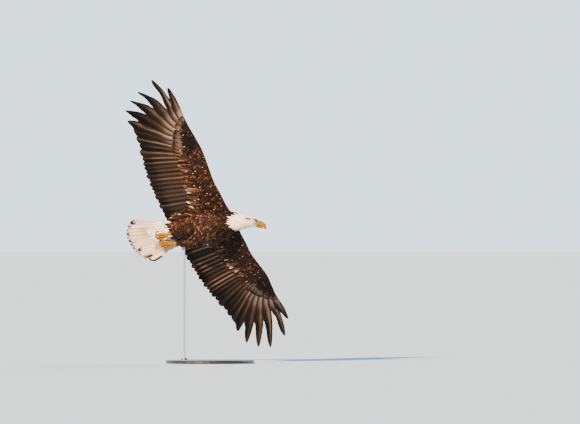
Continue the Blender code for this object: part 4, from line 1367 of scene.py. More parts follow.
def paint_flight(feather, t):
    """Under side: pale grey brown at the base of the primaries, grey brown on the secondaries, falling to
    nearly black towards the tip, with painted shade that darkens the vane towards its trailing rim, and a
    pale line along the shaft. Upper side: dark brown with a warm fringe. The thin rims of both sides carry a
    dark line of painted shade."""
    under = np.broadcast_to(BLADE_FACE < 0, t.shape)
    a = BLADE_ACROSS * np.ones_like(t)
    own = rng.normal(0, 0.10)
    inner = float(ramp(feather, 7.0, 12.0))
    hand = 0.80 * (1 - ramp(t, 0.10, 0.42)) + 0.24 * (1 - ramp(t, 0.42, 0.72))
    hand = hand * (1 - 0.5 * float(ramp(feather, 4.0, 8.0)))
    arm = 0.36 - 0.28 * ramp(t, 0.40, 0.90)
    # the last factor is painted shade that darkens the vane towards its trailing rim
    tone = (hand * (1 - inner) + arm * inner + own) * (1 - 0.85 * ramp(a, 0.25, 0.90))
    below = mix(mix(mix(BLACK, DARK, 0.6), GREY, 2 * tone), PALE_GREY, 2 * tone - 1)
    line = hump(BLADE_ACROSS, 0.0, 0.09) * (1 - 0.85 * ramp(t, 0.55 - 0.25 * (1 - inner), 0.92))
    line = line * np.clip(0.42 + 0.28 * rng.normal(), 0.12, 0.9)
    below = mix(below, SHAFT_TAN, line)
    above = mix(BROWN, DARK, 0.45 + own + 0.4 * ramp(t, 0.5, 1.0))
    above = mix(above, WARM, 0.45 * ramp(np.abs(a), 0.75, 1.0) + 0.35 * ramp(t, 0.93, 1.0))
    pigment = np.where(under[..., None], below, above)
    # the blade's thin rims carry a dark line of painted shade
    edge = np.broadcast_to((BLADE_FACE == 0), t.shape)[..., None]
    return np.where(edge, mix(DARK, TAN, 0.22 * (1 - t)), pigment)


def flight_piece(name, blades, slot, material, nodes):
    """A piece of flight feathers, each (rings, share along, metres across, pigment, length in metres)."""
    rings = np.stack([b[0] for b in blades])
    count, rows, sides = rings.shape[:3]
    mesh = stacked_mesh(name, to_world(rings))
    sharpen_rims(mesh, rows, sides, (0, 8))
    set_pigment(mesh, np.stack([b[3] for b in blades]))
    places = [(b[2] * 1000, b[1] * b[4] * 1000, 0 * b[1] + 3 * k) for k, b in enumerate(blades)]
    set_barb_place(mesh, np.stack([np.stack(place, -1) for place in places]))
    lane = (np.arange(count) + 0.5)[:, None, None] / count
    under = np.where(BLADE_FACE < 0, 0.5, 0.0)
    u = lane + BLADE_ACROSS * 0.42 / count * np.ones((count, rows, 1))
    v = 0.02 + under + 0.45 * np.stack([(b[1] + 0.3) / 1.3 for b in blades])
    set_uv(mesh, "OFBake", np.stack([u, v], -1).reshape(-1, 2))
    add_piece(name, mesh, material, slot, nodes)


print("blades of one wing:", FLIGHT)

# %% [markdown]
# ## Making the wing's blades
# Each wing has three pieces of blades, and each piece takes the place of the plain solids with the same
# feathers. Both wings are made by the same lines, and the right one is the left one mirrored.

# %% Wing blades
FINGER_NODES = [f"primary_{PRIMARIES - k:02d}" for k in range(FINGERS)]
for word, side in SIDES.items():
    for name, numbers, make, nodes in (
        ("outer_primaries", range(FINGERS), finger_blade, FINGER_NODES),
        ("inner_primaries", range(FINGERS, PRIMARIES), row_blade, ["inner_primaries"]),
        ("secondaries", range(PRIMARIES, FLIGHT), row_blade, ["secondaries"]),
    ):
        blades = []
        for number in numbers:
            blade, t, across = make(number)
            long_ = float(np.linalg.norm(blade[-1, 4] - blade[0, 4]))
            blades.append((blade * (1, side, 1), t, across, paint_flight(number, t), long_))
        full = [f"wing_{word}_{node_name}" for node_name in nodes]
        flight_piece(f"quills_{word}_{name}", blades, "flight_feathers", FLIGHT_FEATHER, full)

# %% [markdown]
# ## Greater coverts
# One long covert lies over the base of each flight feather, above and below, and points the same way.
# Below, those of the hand are pale grey brown with dark tips, and their tips draw a clear arc.

# %% Greater coverts and their like
GREATER_LONG = ((0, 0.050), (3, 0.075), (8, 0.095), (11, 0.110), (24, 0.125))


def paint_greater(feather, face):
    """Pale grey brown hand coverts with black tips below; brown ones with rusty rims elsewhere, and below
    with a tan streak along the shaft."""
    count = len(feather)
    t = VANE_ROWS[None, :, None] * np.ones((count, 1, 6))
    pigment = paint_brown(count, 0.45, 0.45 if face < 0 else 0.35)
    if face > 0:
        return pigment
    streak = hump(RING_ACROSS, 0.0, 0.3) * ramp(t, 0.30, 0.55) * (1 - ramp(t, 0.9, 1.0))
    streak = streak * column(np.clip(0.15 + 0.40 * rng.normal(0, 1, count), 0, 1))
    spot = column(rng.random(count) < 0.10) * ramp(t, 0.78, 0.95) * (RING_ACROSS > -0.2)
    pigment = mix(mix(pigment, TAN, streak), BUFF, spot)
    rim = 0.50 + 0.15 * rng.normal(0, 1, (count, 1, 1)) + 0.5 * RING_ACROSS**2 * np.ones_like(t)
    grey = mix(mix(PALE_GREY, GREY, rim), BLACK, 0.94 * ramp(t, 0.62, 0.84))
    return mix(pigment, grey, column(1 - ramp(feather, 6.5, 9.0)))


print("longest greater covert:", max(long_ for _, long_ in GREATER_LONG), "m")

# %% [markdown]
# ## Laying the greater coverts
# A covert's tip is set first, at a short reach past the rear edge of the arm, and its root follows from
# its length. The reach is uneven below, where feathers overlap loosely, and small ones fill the spaces
# between the main ones.

# %% Laying the greater coverts
for word_face, face in FACES.items():
    numbers = np.arange(0, FLIGHT + 0.01, 0.5)
    if face < 0:
        numbers = numbers[(numbers > 9.9) | (numbers % 1 == 0)]
    shafts = shaft_point(numbers, 0.4) - shaft_point(numbers, 0.0)
    pointing = np.arctan2(shafts[:, 1], -shafts[:, 0])
    count = len(numbers)
    whole = numbers % 1 == 0
    reach = 0.004 + 0.006 * whole + rng.normal(0, 0.0020, count)
    if face < 0:
        reach = np.where(numbers < 9.5, 0.013, np.where(whole, -0.008, -0.022)) + rng.normal(0, 0.0045, count)
    end = feather_root(numbers) + np.stack([-np.cos(pointing), np.sin(pointing)], 1) * reach[:, None]
    long_ = through(GREATER_LONG, numbers)[:, 0] * (1.0 if face < 0 else 1.1)
    x0 = end[:, 0] + np.cos(pointing) * long_
    y0 = end[:, 1] - np.sin(pointing) * long_
    gap = np.linalg.norm(np.gradient(feather_root(numbers), numbers, axis=0), axis=1)
    half = np.clip(gap * 0.62, 0.0065, 0.020)
    for word, side in SIDES.items():
        turns = pointing + rng.normal(0, 0.02, count)
        spread = plan_place(on_wing, x0, y0, turns, np.full(count, face), side)
        low, high = np.full(count, -0.0022), np.where(whole, 0.0020, 0.0010)
        rings, local = vanes(spread, long_, half, low, high, point=0.05, cup=0.06, thickness=0.0006)
        unwrap = np.stack([0.03 + numbers / 26.5, np.full(count, 0.95)], 1)
        name = f"coat_wing_{word}_{word_face}_greater"
        coat(name, rings, local, unwrap, paint_greater(numbers, face), BODY_FEATHER, "brown_plumage")

# %% [markdown]
# ## Feathers that close the joins
# Where wing meets body, longer feathers bridge the corner: axillaries fan out of the armpit below,
# scapulars lie over the shoulder above, and tertials cover the innermost secondaries. At the wrist the
# alula, three stiff small quills on the thumb, lies along the leading edge.

# %% Axillaries, scapulars, tertials and alula
JOINING = (
    # name, face, feathers, rows, x and y of the first root and of the last one,
    # swing of the first and of the last one, length, half width, lift
    ("axillaries", -1, 15, 2, 0.075, 0.078, -0.115, 0.088, 0.95, 0.10, 0.088, 0.0105, 0.0030),
    ("scapulars", 1, 12, 3, 0.105, 0.070, -0.100, 0.066, 0.55, 0.12, 0.070, 0.0135, 0.0024),
    ("tertials", 1, 6, 1, -0.040, 0.128, -0.075, 0.070, 0.10, 0.04, 0.125, 0.0140, 0.0040),
    ("alula", 1, 3, 1, 0.0, 0.0, -0.012, -0.008, 1.20, 1.10, 0.100, 0.0095, 0.0030),
)
wrist_x, wrist_y, _, _, _ = (float(np.ravel(v)[0]) for v in arm_at(np.array([0.70])))
for name, face, each, rows, x_first, y_first, x_last, y_last, *rest in JOINING:
    swing_first, swing_last, long_, half, lift = rest
    order = np.tile((np.arange(each) + 0.5) / each, rows)
    row = np.repeat(np.arange(rows), each)
    order = np.clip(order + 0.5 / each * (row % 2), 0, 1)
    count = len(order)
    x0 = x_first + (x_last - x_first) * order - 0.010 * row
    y0 = y_first + (y_last - y_first) * order + 0.016 * row
    if name == "alula":
        x0, y0 = x0 + wrist_x - 0.014, y0 + wrist_y - 0.010
    swing = swing_first + (swing_last - swing_first) * order + rng.normal(0, 0.04, count)
    length = long_ * (1 - 0.12 * row) * rng.uniform(0.88, 1.1, count)
    for word, side in SIDES.items():
        spread = plan_place(on_wing, x0, y0, swing, np.full(count, face), side)
        rise = lift * rng.uniform(0.7, 1.3, count) + 0.0012 * (rows - 1 - row)
        wide, low = np.full(count, half), np.full(count, -0.002)
        rings, local = vanes(spread, length, wide, low, rise, point=0.1, cup=0.08)
        if face < 0:
            pigment = paint_brown(count, 0.35, 0.45)
            t = VANE_ROWS[None, :, None]
            streak = hump(RING_ACROSS, 0.0, 0.35) * ramp(t, 0.35, 0.6)
            streak = streak * column(np.clip(0.25 + 0.3 * rng.normal(0, 1, count), 0, 1))
            spot = column(rng.random(count) < 0.14) * ramp(t, 0.75, 0.93) * (RING_ACROSS < 0.3)
            pigment = mix(mix(pigment, TAN, streak), BUFF, spot)
        else:
            pigment = paint_brown(count, 0.5, 0.25 if name in ("alula", "tertials") else 0.45)
        unwrap = np.stack([0.03 + 0.94 * order, 0.1 + 0.25 * row], 1)
        coat(f"coat_{name}_{word}", rings, local, unwrap, pigment, BODY_FEATHER, "brown_plumage")

# %% [markdown]
# ## Tail
# Twelve broad feathers open like a fan. The middle pair lies on top, so from below the outer ones cover
# the inner ones. An adult's tail is white, with a warm tone along the shafts and a few dark marks that
# age leaves at the tips. The marks are a short table, because on the real bird each feather keeps its
# own.

# %% Tail feathers
TAIL_CORNER, TAIL_HALF, RECTRICES, TAIL_LAYER, TAIL_PITCH = (-0.405, 0.165), 0.112, 12, 0.0008, 0.027
TAIL_ROWS = np.concatenate([np.linspace(-0.16, 0.84, 34), 1 - 0.16 * np.linspace(0.9, 0, 11) ** 1.4])


def tail_point(across, t):
    """Point of the fan at this place across (-1 to 1) and share t of the length: straight in plan, with a
    bow outwards of sin(pi t) and a sag. The rear edge falls away as the 2.4th power of across."""
    shape, (across, t) = spread_out(across, t)
    reach = TAIL_MIDDLE + (TAIL_CORNER[0] - TAIL_MIDDLE) * np.abs(across) ** 2.4
    x = TAIL_BASE + (reach - TAIL_BASE) * t
    y = across * (TAIL_HALF + (TAIL_CORNER[1] - TAIL_HALF) * t + 0.008 * np.sin(math.pi * np.clip(t, 0, 1)))
    return np.stack([x, y, -TAIL_SAG * t], 1).reshape(*shape, 3)


def tail_blade(number):
    """One tail feather: half a space wide on its outer side, 0.72 on its inner side, with a round tip."""
    t = TAIL_ROWS[:, None]
    middle = 2 * (number + 0.5) / RECTRICES - 1
    quill = 0.45 + 0.55 * ramp(t, -0.16, 0.10)
    outer = -BLADE_ACROSS * np.where(BLADE_ACROSS < 0, 0.50, 0.72) * quill * ragged(t, number * 0.57)
    length = 1 - 0.10 * np.abs(2 * outer * 0.86) ** 2.4 * ramp(t, 0.3, 1.0)
    blade = tail_point(middle + np.sign(middle) * outer * 2 / RECTRICES, t * length)
    blade[..., 2] += -TAIL_LAYER * abs(number - 5.5) + 0.0022 + blade_height(t, 0.012)
    return blade, t * np.ones_like(outer), -outer * TAIL_PITCH


print("points in a tail feather:", tail_blade(0)[0].shape[:2])

# %% [markdown]
# ## Painting the tail
# A tail feather is cream, warmer along its shaft, with painted shade along its rims where the feathers
# overlap, and worn brown at the end. Near the base, three feathers on one side carry the feet's painted
# shadow in grey. The dark marks are given as boxes with soft rims, in shares of the feather's length and of
# its half width.

# %% Painting the tail
STRAW, FOOT_SHADOW_GREY, WORN = (linear(c) for c in ("#96663e", "#4a423c", "#3a2214"))
MARK = mix(BLACK, BROWN, 0.25)
TAIL_MARKS = (
    # feather from the right, share from and to, across from and to (-1 is the outer rim), strength
    (0, 0.89, 1.10, -1.3, 1.3, 0.97),
    (0, 0.76, 0.92, 0.15, 0.80, 0.95),
    (0, 0.70, 0.90, -1.4, -0.7, 0.70),
    (1, 0.88, 0.96, -0.3, 0.50, 0.85),
    (2, 0.96, 1.10, -0.8, 0.10, 0.55),
    (3, 0.91, 1.02, -0.4, 0.70, 0.90),
    (3, 0.97, 1.10, -1.3, 1.3, 0.40),
    (5, 0.92, 1.10, -0.6, 1.3, 0.97),
    (6, 0.93, 1.10, -1.3, 0.4, 0.90),
    (7, 0.93, 1.02, -0.6, 0.3, 0.85),
    (8, 0.95, 1.10, -1.3, 1.3, 0.50),
    (8, 0.80, 0.91, -0.40, 0.9, 0.97),
    (9, 0.97, 1.10, -0.6, 0.6, 0.55),
    (10, 0.96, 1.10, -0.5, 0.5, 0.70),
    (10, 0.66, 0.93, -0.60, 0.40, 0.97),
    (11, 0.90, 1.10, -1.3, 1.2, 0.97),
    (11, 0.42, 1.10, -1.4, -0.20, 0.98),
)


def paint_tail(number, t):
    """Cream white, warmer along the shaft, with painted shade along the rims, the feet's painted shadow in
    grey near the base of feathers 9 to 11, and this feather's marks.
    """
    own = 0.62 + 0.2 * rng.normal()
    a = BLADE_ACROSS * np.ones_like(t)
    pigment = mix(WHITE, CREAM, own + 0.5 * ramp(np.abs(a), 0.5, 1.0))
    # warm along the shaft is the feather's own tone; warm along the rims is painted shade where feathers
    # overlap
    warm = 0.70 * hump(a, 0.0, 0.09) + 0.60 * ramp(np.abs(a), 0.80, 1.0) + 0.30 * ramp(t, 0.86, 1.0)
    pigment = mix(pigment, STRAW, warm)
    smudge = hump(t, 0.44, 0.13) * (0.65 if number in (2, 3, 4) else 0.10)
    pigment = mix(pigment, SHADE, smudge * (0.7 + 0.3 * np.sin(9 * a + number)))
    # painted shadow of the feet near the base of the three feathers under them
    pigment = mix(pigment, FOOT_SHADOW_GREY, 0.8 * hump(t, 0.16, 0.12) * (number > 8))
    worn = 0.90 * ramp(t, 0.945, 0.99) + 0.5 * ramp(t, 0.7, 1.0) * ramp(np.abs(a), 0.85, 1.0)
    pigment = mix(pigment, WORN, worn)
    for _, start, end, low, high, strength in (mark for mark in TAIL_MARKS if mark[0] == number):
        along = ramp(t, start - 0.02, start + 0.02) * (1 - ramp(t, end, end + 0.03))
        across = ramp(a, low - 0.32, low + 0.10) * (1 - ramp(a, high - 0.10, high + 0.32))
        pigment = mix(pigment, MARK, along * across * strength)
    return pigment


blades = []
for number in range(RECTRICES):
    blade, t, across = tail_blade(number)
    long_ = float(np.linalg.norm(blade[-1, 4] - blade[0, 4]))
    blades.append((blade, t, across, paint_tail(number, t), long_))
flight_piece("quills_tail", blades, "white_plumage", WHITE_FEATHER, ["tail_feathers"])

# %% [markdown]
# ## Horn and bare skin
# The bill and the claws are horn over bone: smooth, a little glossy, with fine lines of growth. The
# feet are bare skin in hard scales. Both take their colour from points, so that a scale's groove or the
# bill's ridge can be painted where it is.


# %% Materials of horn, scaled skin and the eye
def horn(name, roughness, coat_weight, grain_mm, depth, shine=0.2):
    """Keratin horn: point colour with fine streaks of growth, and a thin natural polish."""
    material, tree, shader = new_material(name, roughness, Coat_Weight=coat_weight, Coat_Roughness=0.2)
    shader.inputs["Specular IOR Level"].default_value = shine
    noise = grain(tree, 1000 / grain_mm, Detail=4.0, Distortion=0.6)
    colour_by_pigment(tree, shader, remap(tree, noise, 0.3, 0.7, 0.86, 1.10))
    bump(tree, shader, noise, 0.4, depth)
    return material


def scaled_skin():
    """Scaly skin of the feet: netted scales about 1.5 mm across, darker in the grooves between them."""
    material, tree, shader = new_material("scaled_foot_skin", 0.55, Specular_IOR_Level=0.08)
    coords = node(tree, "TexCoord").outputs["Object"]
    net = node(tree, "TexVoronoi", {"feature": "DISTANCE_TO_EDGE"}, Vector=coords, Scale=650.0)
    groove = remap(tree, net.outputs["Distance"], 0.0, 0.12, 0.72, 1.0)
    colour_by_pigment(tree, shader, groove)
    bump(tree, shader, groove, 0.5, 0.0005)
    return material


BILL_HORN = horn("keratin_bill_horn", 0.45, 0.02, 1.2, 0.0002, shine=0.08)
CLAW_HORN = horn("keratin_claw_horn", 0.30, 0.25, 0.9, 0.0002)
LID_SKIN = horn("bare_lid_skin", 0.55, 0.0, 0.8, 0.0003)
FOOT_SKIN = scaled_skin()
CORNEA = horn("moist_eye", 0.12, 0.5, 1.0, 0.0)
print("materials:", ", ".join(m.name for m in (BILL_HORN, CLAW_HORN, LID_SKIN, FOOT_SKIN, CORNEA)))

# %% [markdown]
# ## Helpers for swept forms
# Toes, claws, lids and brows are all tubes round a bent middle line. A tube's size may change along it
# and round it, so one helper serves them all, and a smooth line through a few points gives its path.


# %% Helpers for swept forms
def painted(name, rings, pigment, material, slot, nodes=()):
    """A piece from rings (N, rows, sides, 3) of the bird's frame, with the colour of each point."""
    mesh = stacked_mesh(name, to_world(rings))
    set_pigment(mesh, np.broadcast_to(pigment, rings.shape))
    add_piece(name, mesh, material, slot, nodes)


def swept(path, radius, sides, reference, flat=1.0):
    """Rings square to a path (rows, 3): radius x cosine along path direction x reference, radius x flat x
    sine along the third direction; radius may differ by row and by angle."""
    path = np.asarray(path, float)
    heading = np.gradient(path, axis=0)
    heading /= np.linalg.norm(heading, axis=1)[:, None]
    out = np.cross(heading, reference)
    out /= np.linalg.norm(out, axis=1)[:, None]
    rise = np.cross(out, heading)
    angle = full_turn(sides)
    radius = np.broadcast_to(radius, (len(path), sides))[..., None]
    sideways, upwards = np.cos(angle)[:, None] * out[:, None], np.sin(angle)[:, None] * rise[:, None]
    return path[:, None] + radius * (sideways + flat * upwards)


def round_end(share, start, length, least):
    """1 up to start, then a quarter circle that closes a form over this length, down to the least size."""
    return np.sqrt(np.clip(1 - np.maximum(0, (share - start) / length) ** 2, least, 1))


def smooth_path(points, count):
    """Even points along a smooth curve through a few given ones."""
    points = np.asarray(points, float)
    run = np.concatenate([[0], np.cumsum(np.linalg.norm(np.diff(points, axis=0), axis=1))])
    return through(np.column_stack([run, points]), np.linspace(0, run[-1], count))


print("a smooth path's end:", smooth_path([(0, 0, 0), (1, 0, 0), (2, 1, 0)], 9)[-1].round(3))

# %% [markdown]
# ## Bill
# The upper bill starts in the cere, a band of waxy skin with the nostrils, runs level and then bends
# down into a hook. The lower bill is shorter and closes under it. Each section is an oval with flat
# sides below, set square to the bill's bent middle line.

# %% Where a point of the bill is
CERE = (0.012, 0.24)
UPPER_BILL = (
    # share, forward, up, half width, half height
    (0.00, 0.0000, 0.0040, 0.0146, 0.0150),
    (0.22, 0.0130, 0.0040, 0.0125, 0.0144),
    (0.45, 0.0260, 0.0020, 0.0103, 0.0136),
    (0.65, 0.0370, -0.0030, 0.0082, 0.0120),
    (0.80, 0.0437, -0.0100, 0.0062, 0.0095),
    (0.92, 0.0470, -0.0180, 0.0040, 0.0062),
    (1.00, 0.0475, -0.0255, 0.0014, 0.0020),
)
LOWER_BILL = (
    # share, forward, up, half width, half height
    (0.00, 0.0000, -0.0168, 0.0126, 0.0055),
    (0.40, 0.0140, -0.0166, 0.0102, 0.0055),
    (0.75, 0.0260, -0.0174, 0.0074, 0.0049),
    (1.00, 0.0350, -0.0192, 0.0038, 0.0028),
)
NOSTRIL_SHARE, NOSTRIL_ANGLE = 0.175, math.radians(32)


def on_bill(rows, share, angle, grow=0.0):
    """Point of the bill: half width x |cos|^k sideways and half height x sin upwards, square to the
    middle line; k falls from 1 to 0.6 below, which makes the sides flat there."""
    shape, (share, angle, grow) = spread_out(share, angle, grow)
    share = np.clip(share, 0, 1)
    at = through(rows, share)
    ahead = through(rows, np.minimum(share + 0.01, 1)) - through(rows, np.maximum(share - 0.01, 0))
    run = ahead[:, :2] / np.linalg.norm(ahead[:, :2], axis=1)[:, None]
    closing = round_end(share, 0.95, 0.0505, 0.02)
    cosine, sine = np.cos(angle), np.sin(angle)
    wide = (at[:, 2] * closing + grow) * np.sign(cosine) * np.abs(cosine) ** (1 - 0.4 * ramp(-sine, 0.0, 0.7))
    high = (at[:, 3] * closing + grow) * sine
    points = HEAD_CENTRE + (at[:, 0] - run[:, 1] * high)[:, None] * HEAD_FORWARD
    points = points + (at[:, 1] + run[:, 0] * high)[:, None] * HEAD_UP + wide[:, None] * HEAD_LEFT
    return points.reshape(*shape, 3)


print("tip of the bill:", on_bill(UPPER_BILL, 1.0, 0.0).round(3))

# %% [markdown]
# ## Cere, upper and lower bill
# The three are pieces of their own, as the sheaths are on the bird. The yellow deepens to orange on the ridge
# and in the hook, the nostril is a soft dent in the cere painted black as the shade inside it, and the lower
# bill carries painted shade where it meets the upper one.

# %% Cere, upper and lower bill
HORN_YELLOW, HORN_ORANGE, WAX_YELLOW = linear("#7a5600"), linear("#744200"), linear("#7a5a00")
GAPE_SHADE = linear("#241002")
bill_turn = full_turn(48)[None]
for name, rows, start, end, count in (
    ("cere", UPPER_BILL, -0.16, CERE[1], 34),
    ("bill_upper", UPPER_BILL, CERE[1] - 0.02, 1.0, 60),
    ("bill_lower", LOWER_BILL, -0.16, 1.0, 46),
):
    share = np.linspace(start, end, count)[:, None]
    turn = bill_turn + 0 * share
    ridge = ramp(np.sin(turn), 0.75, 1.0)
    hook = 0.9 * ramp(share, 0.55, 0.95) * (name == "bill_upper")
    pigment = mix(HORN_YELLOW, HORN_ORANGE, 0.75 * ridge + hook)
    grow = 0.0 * turn
    if name == "cere":
        lips = ramp(share, -0.10, 0.04) * (1 - ramp(share, 0.19, 0.24))
        beside = np.abs(np.cos(turn)) / math.cos(NOSTRIL_ANGLE) - 1
        hole = hump(share, NOSTRIL_SHARE, 0.035) * hump(beside, 0.0, 0.10) * (np.sin(turn) > 0)
        grow = 0.0007 * lips - 0.0022 * hole
        # the nostril is painted black: painted shade inside the dent
        pigment = mix(mix(WAX_YELLOW, HORN_ORANGE, 0.5 * ridge), BLACK, 1.2 * hole)
    if name == "bill_lower":
        grow = -0.0004 - 0.0005 * ramp(np.sin(turn), 0.2, 0.9)
        # painted shade in the closed gape, where the lower bill meets the upper one
        pigment = mix(pigment, GAPE_SHADE, 0.9 * ramp(np.sin(turn), 0.35, 0.8))
    rings = on_bill(rows, share, turn, grow) + (np.minimum(share, 0) * 0.055)[..., None] * HEAD_FORWARD
    painted(name + "_horn", rings[None], pigment[None], BILL_HORN, "bill_horn", [name])

# %% [markdown]
# ## Eyes, lids, brows and the corner of the mouth
# An eagle's stare comes from its brow, a bony ridge that overhangs a large pale eye. The ball is a
# sphere with a bulging clear front, painted as rings about the line of sight: black pupil, pale yellow
# iris, dark rim. Two lids circle it, and the yellow edge of the mouth runs back to below the eye.

# %% Eyes, lids, brows and gapes
IRIS, IRIS_RIM, BROW_SHADE_BROWN, LID_PALE = (linear(c) for c in ("#93741c", "#3a2a0e", "#160d08", "#6a4c20"))
BALL_RADIUS, LID_LOOP, LID_THICK, BROW_THICK, GAPE_THICK = 0.0092, 0.0078, 0.0015, 0.0030, 0.0022


def eye_axes(side):
    """Line of sight, forward and up of the eye on this side, square to each other."""
    sight = 0.93 * side * HEAD_LEFT + 0.34 * HEAD_FORWARD + 0.05 * HEAD_UP
    sight /= np.linalg.norm(sight)
    high = HEAD_UP - (HEAD_UP @ sight) * sight
    high /= np.linalg.norm(high)
    ahead = np.cross(high, sight) * -side
    return sight, ahead * np.sign(ahead @ HEAD_FORWARD), high


def eyeball(eye, sight, ahead, high):
    """The ball as rings about the line of sight, with a bulging front, and its pupil, iris and dark rim."""
    polar = np.linspace(0.02, math.pi - 0.02, 40)[:, None]
    turn = full_turn(36)[None]
    radius = BALL_RADIUS * (1 + 0.06 * hump(polar, 0.0, 0.45))
    ball = eye + radius[..., None] * (
        np.cos(polar)[..., None] * sight
        + (np.sin(polar) * np.cos(turn))[..., None] * ahead
        + (np.sin(polar) * np.sin(turn))[..., None] * high
    )
    pigment = mix(BLACK, IRIS, ramp(polar, 0.34, 0.40))
    pigment = mix(pigment, IRIS_RIM, ramp(polar, 0.60, 0.78))
    return ball, mix(pigment, BLACK, ramp(polar, 0.80, 0.92))


def lids(eye, sight, ahead, high):
    """A loop of skin round the front of the ball, a little flattened, dark above with painted shade from the
    brow, and paler below.
    """
    loop = np.linspace(0, 2 * np.pi, 60)
    path = eye + 0.0086 * 0.64 * sight + LID_LOOP * (
        np.cos(loop)[:, None] * ahead + (0.86 * np.sin(loop) - 0.10 * np.cos(loop))[:, None] * high
    )
    # painted shade from the brow on the upper lid; the lower lid keeps its own paler colour
    tint = mix(BROW_SHADE_BROWN, LID_PALE, ramp(-np.sin(loop), 0.1, 0.8))
    return swept(path, LID_THICK, 12, sight, 1.3), tint[:, None]


def brow_ridge(eye, sight, ahead, high):
    """A ridge that bows over the eye: white, with painted shade on its under side that widens towards the
    rear.
    """
    arc = np.linspace(-0.15, 1.0, 40)
    path = (
        eye
        + (0.0058 - 0.008 * (arc - 0.45) ** 2)[:, None] * sight
        + (0.0140 - 0.029 * arc)[:, None] * -ahead
        + (0.0086 - 0.011 * (arc - 0.40) ** 2)[:, None] * high
    )
    bulge = BROW_THICK * np.sin(np.pi * np.linspace(0.04, 0.97, 40))[:, None] ** 0.8
    brow = swept(path, bulge, 18, sight, 0.55)
    lower = -((brow - path[:, None]) @ high) / bulge
    # painted shade on the under side of the ridge, widening towards the rear
    dark = np.minimum(ramp(arc, 0.0, 0.7)[:, None] + ramp(lower, -0.5, 0.5), 0.95)
    return brow, mix(CREAM, BROW_SHADE_BROWN, dark)


def gape_fold(side):
    """The yellow edge of the mouth: a fold along the cheek that thins to the rear as (1.02 - u)^0.7."""
    path = on_body(np.linspace(0.334, 0.302, 24), (-0.50 if side > 0 else math.pi + 0.50), 0.0006)
    thick = GAPE_THICK * (1.02 - np.linspace(0, 1, 24))[:, None] ** 0.7
    return swept(path, thick, 12, HEAD_UP, 0.6), HORN_YELLOW


for word, side in SIDES.items():
    eye, axes = EYES[word], eye_axes(side)
    for name, (rings, tint), material, slot, nodes in (
        ("eyeball", eyeball(eye, *axes), CORNEA, "eye", [f"eye_{word}"]),
        ("lids", lids(eye, *axes), LID_SKIN, "eye", ()),
        ("brow", brow_ridge(eye, *axes), DOWN, "white_plumage", ()),
        ("gape", gape_fold(side), BILL_HORN, "bill_horn", ()),
    ):
        painted(f"{name}_{word}", rings[None], tint, material, slot, nodes)

# %% [markdown]
# ## Feet
# The legs are drawn back and the toes clenched. A row of broad plates runs down the front of the shank
# and over the back of each toe, and pads swell under the joints. The claws carry on the curl of the
# toes and end in points.

# %% Numbers of the foot
SHANK = (
    # share, x, y, z, half width, half height
    (0.00, -0.1600, 0.0425, -0.0565, 0.0100, 0.0100),
    (0.08, -0.1725, 0.041, -0.055, 0.0095, 0.0095),
    (0.40, -0.200, 0.037, -0.052, 0.0080, 0.0086),
    (0.75, -0.228, 0.033, -0.049, 0.0100, 0.0092),
    (0.92, -0.243, 0.031, -0.047, 0.0150, 0.0115),
    (1.00, -0.255, 0.030, -0.046, 0.0125, 0.0095),
)
TOE_START_X, FOOT_Y, FOOT_Z, CLAW_LENGTH = -0.2480, 0.030, -0.046, 0.023
TOES = (
    # name, sideways offset, height offset, length scale, sideways splay
    ("inner", -0.0145, -0.002, 0.88, -0.003),
    ("middle", 0.0000, -0.003, 1.00, 0.000),
    ("outer", 0.0145, -0.002, 0.86, 0.003),
)
TOE_CURL = ((-0.0120, 0.002), (0.014, 0.000), (0.032, -0.001), (0.048, 0.003), (0.055, 0.012), (0.053, 0.022))
HIND_CURL = ((0.000, -0.004), (0.000, 0.004), (0.007, 0.0095), (0.018, 0.0105), (0.028, 0.0095))
TOE_SPLAY, TOE_SPREAD = (0, 0, 0.2, 0.5, 0.8, 1), (0.45, 1, 1, 1, 1, 1)
HIND_START_X, HIND_RISE = -0.243, 0.0105
YELLOW_SKIN, GROOVE_AND_SHADE = linear("#805400"), linear("#241002")
CLAW_BLACK, CLAW_BROWN = linear("#080606"), linear("#2a1e16")
print("toes on each foot:", len(TOES) + 1)

# %% [markdown]
# ## Plates, toes and claws
# A toe is a tube with three changes: grooves between the plates of its back, swellings under its
# joints, and a round end. Its claw starts inside that end and keeps on bending the same way.


# %% Plates, toes and claws
def plates(run, pitch):
    """1 on a plate, 0 in the grooves between plates: 1 - (2 f - 1)^6, f the fraction of run over pitch."""
    return 1 - (2 * np.mod(run / pitch, 1.0) - 1) ** 6


def toe(path, radius, back):
    """A toe and its pigment: plates 3 mm long over its back, and a pad under each of three joints."""
    count, sides = len(path), 22
    turn = full_turn(sides)[None]
    run = np.linspace(0, 1, count)[:, None]
    long_ = np.linalg.norm(np.diff(path, axis=0), axis=1).sum()
    top, under = ramp(np.cos(turn), 0.05, 0.6), ramp(-np.cos(turn), -0.1, 0.7)
    plate = plates(run * long_, 0.0031)
    pads = sum(hump(run, place, 0.085) for place in (0.28, 0.58, 0.86))
    size = radius * (1 - 0.25 * run) * (1 - 0.06 * top * (1 - plate) + 0.16 * pads * under)
    size = size * round_end(run, 0.93, 0.08, 0.05)
    rings = swept(path, size, sides, back)
    # dark grooves between the plates, and painted shade under the toe between its pads
    return rings, mix(YELLOW_SKIN, GROOVE_AND_SHADE, 0.85 * top * (1 - plate) + 0.25 * under * (1 - pads))


def claw(start, heading, bend, radius=0.0043):
    """A claw bends through 80 degrees and narrows as 1 - u^1.6."""
    u = np.linspace(0, 1, 26)
    angle = 1.45 * u
    step = (np.cos(angle)[:, None] * heading + np.sin(angle)[:, None] * bend) * CLAW_LENGTH / 25
    path = start - heading * 0.003 + np.cumsum(step, axis=0)
    return path, radius * np.clip(1 - u**1.6, 0.04, 1)[:, None]


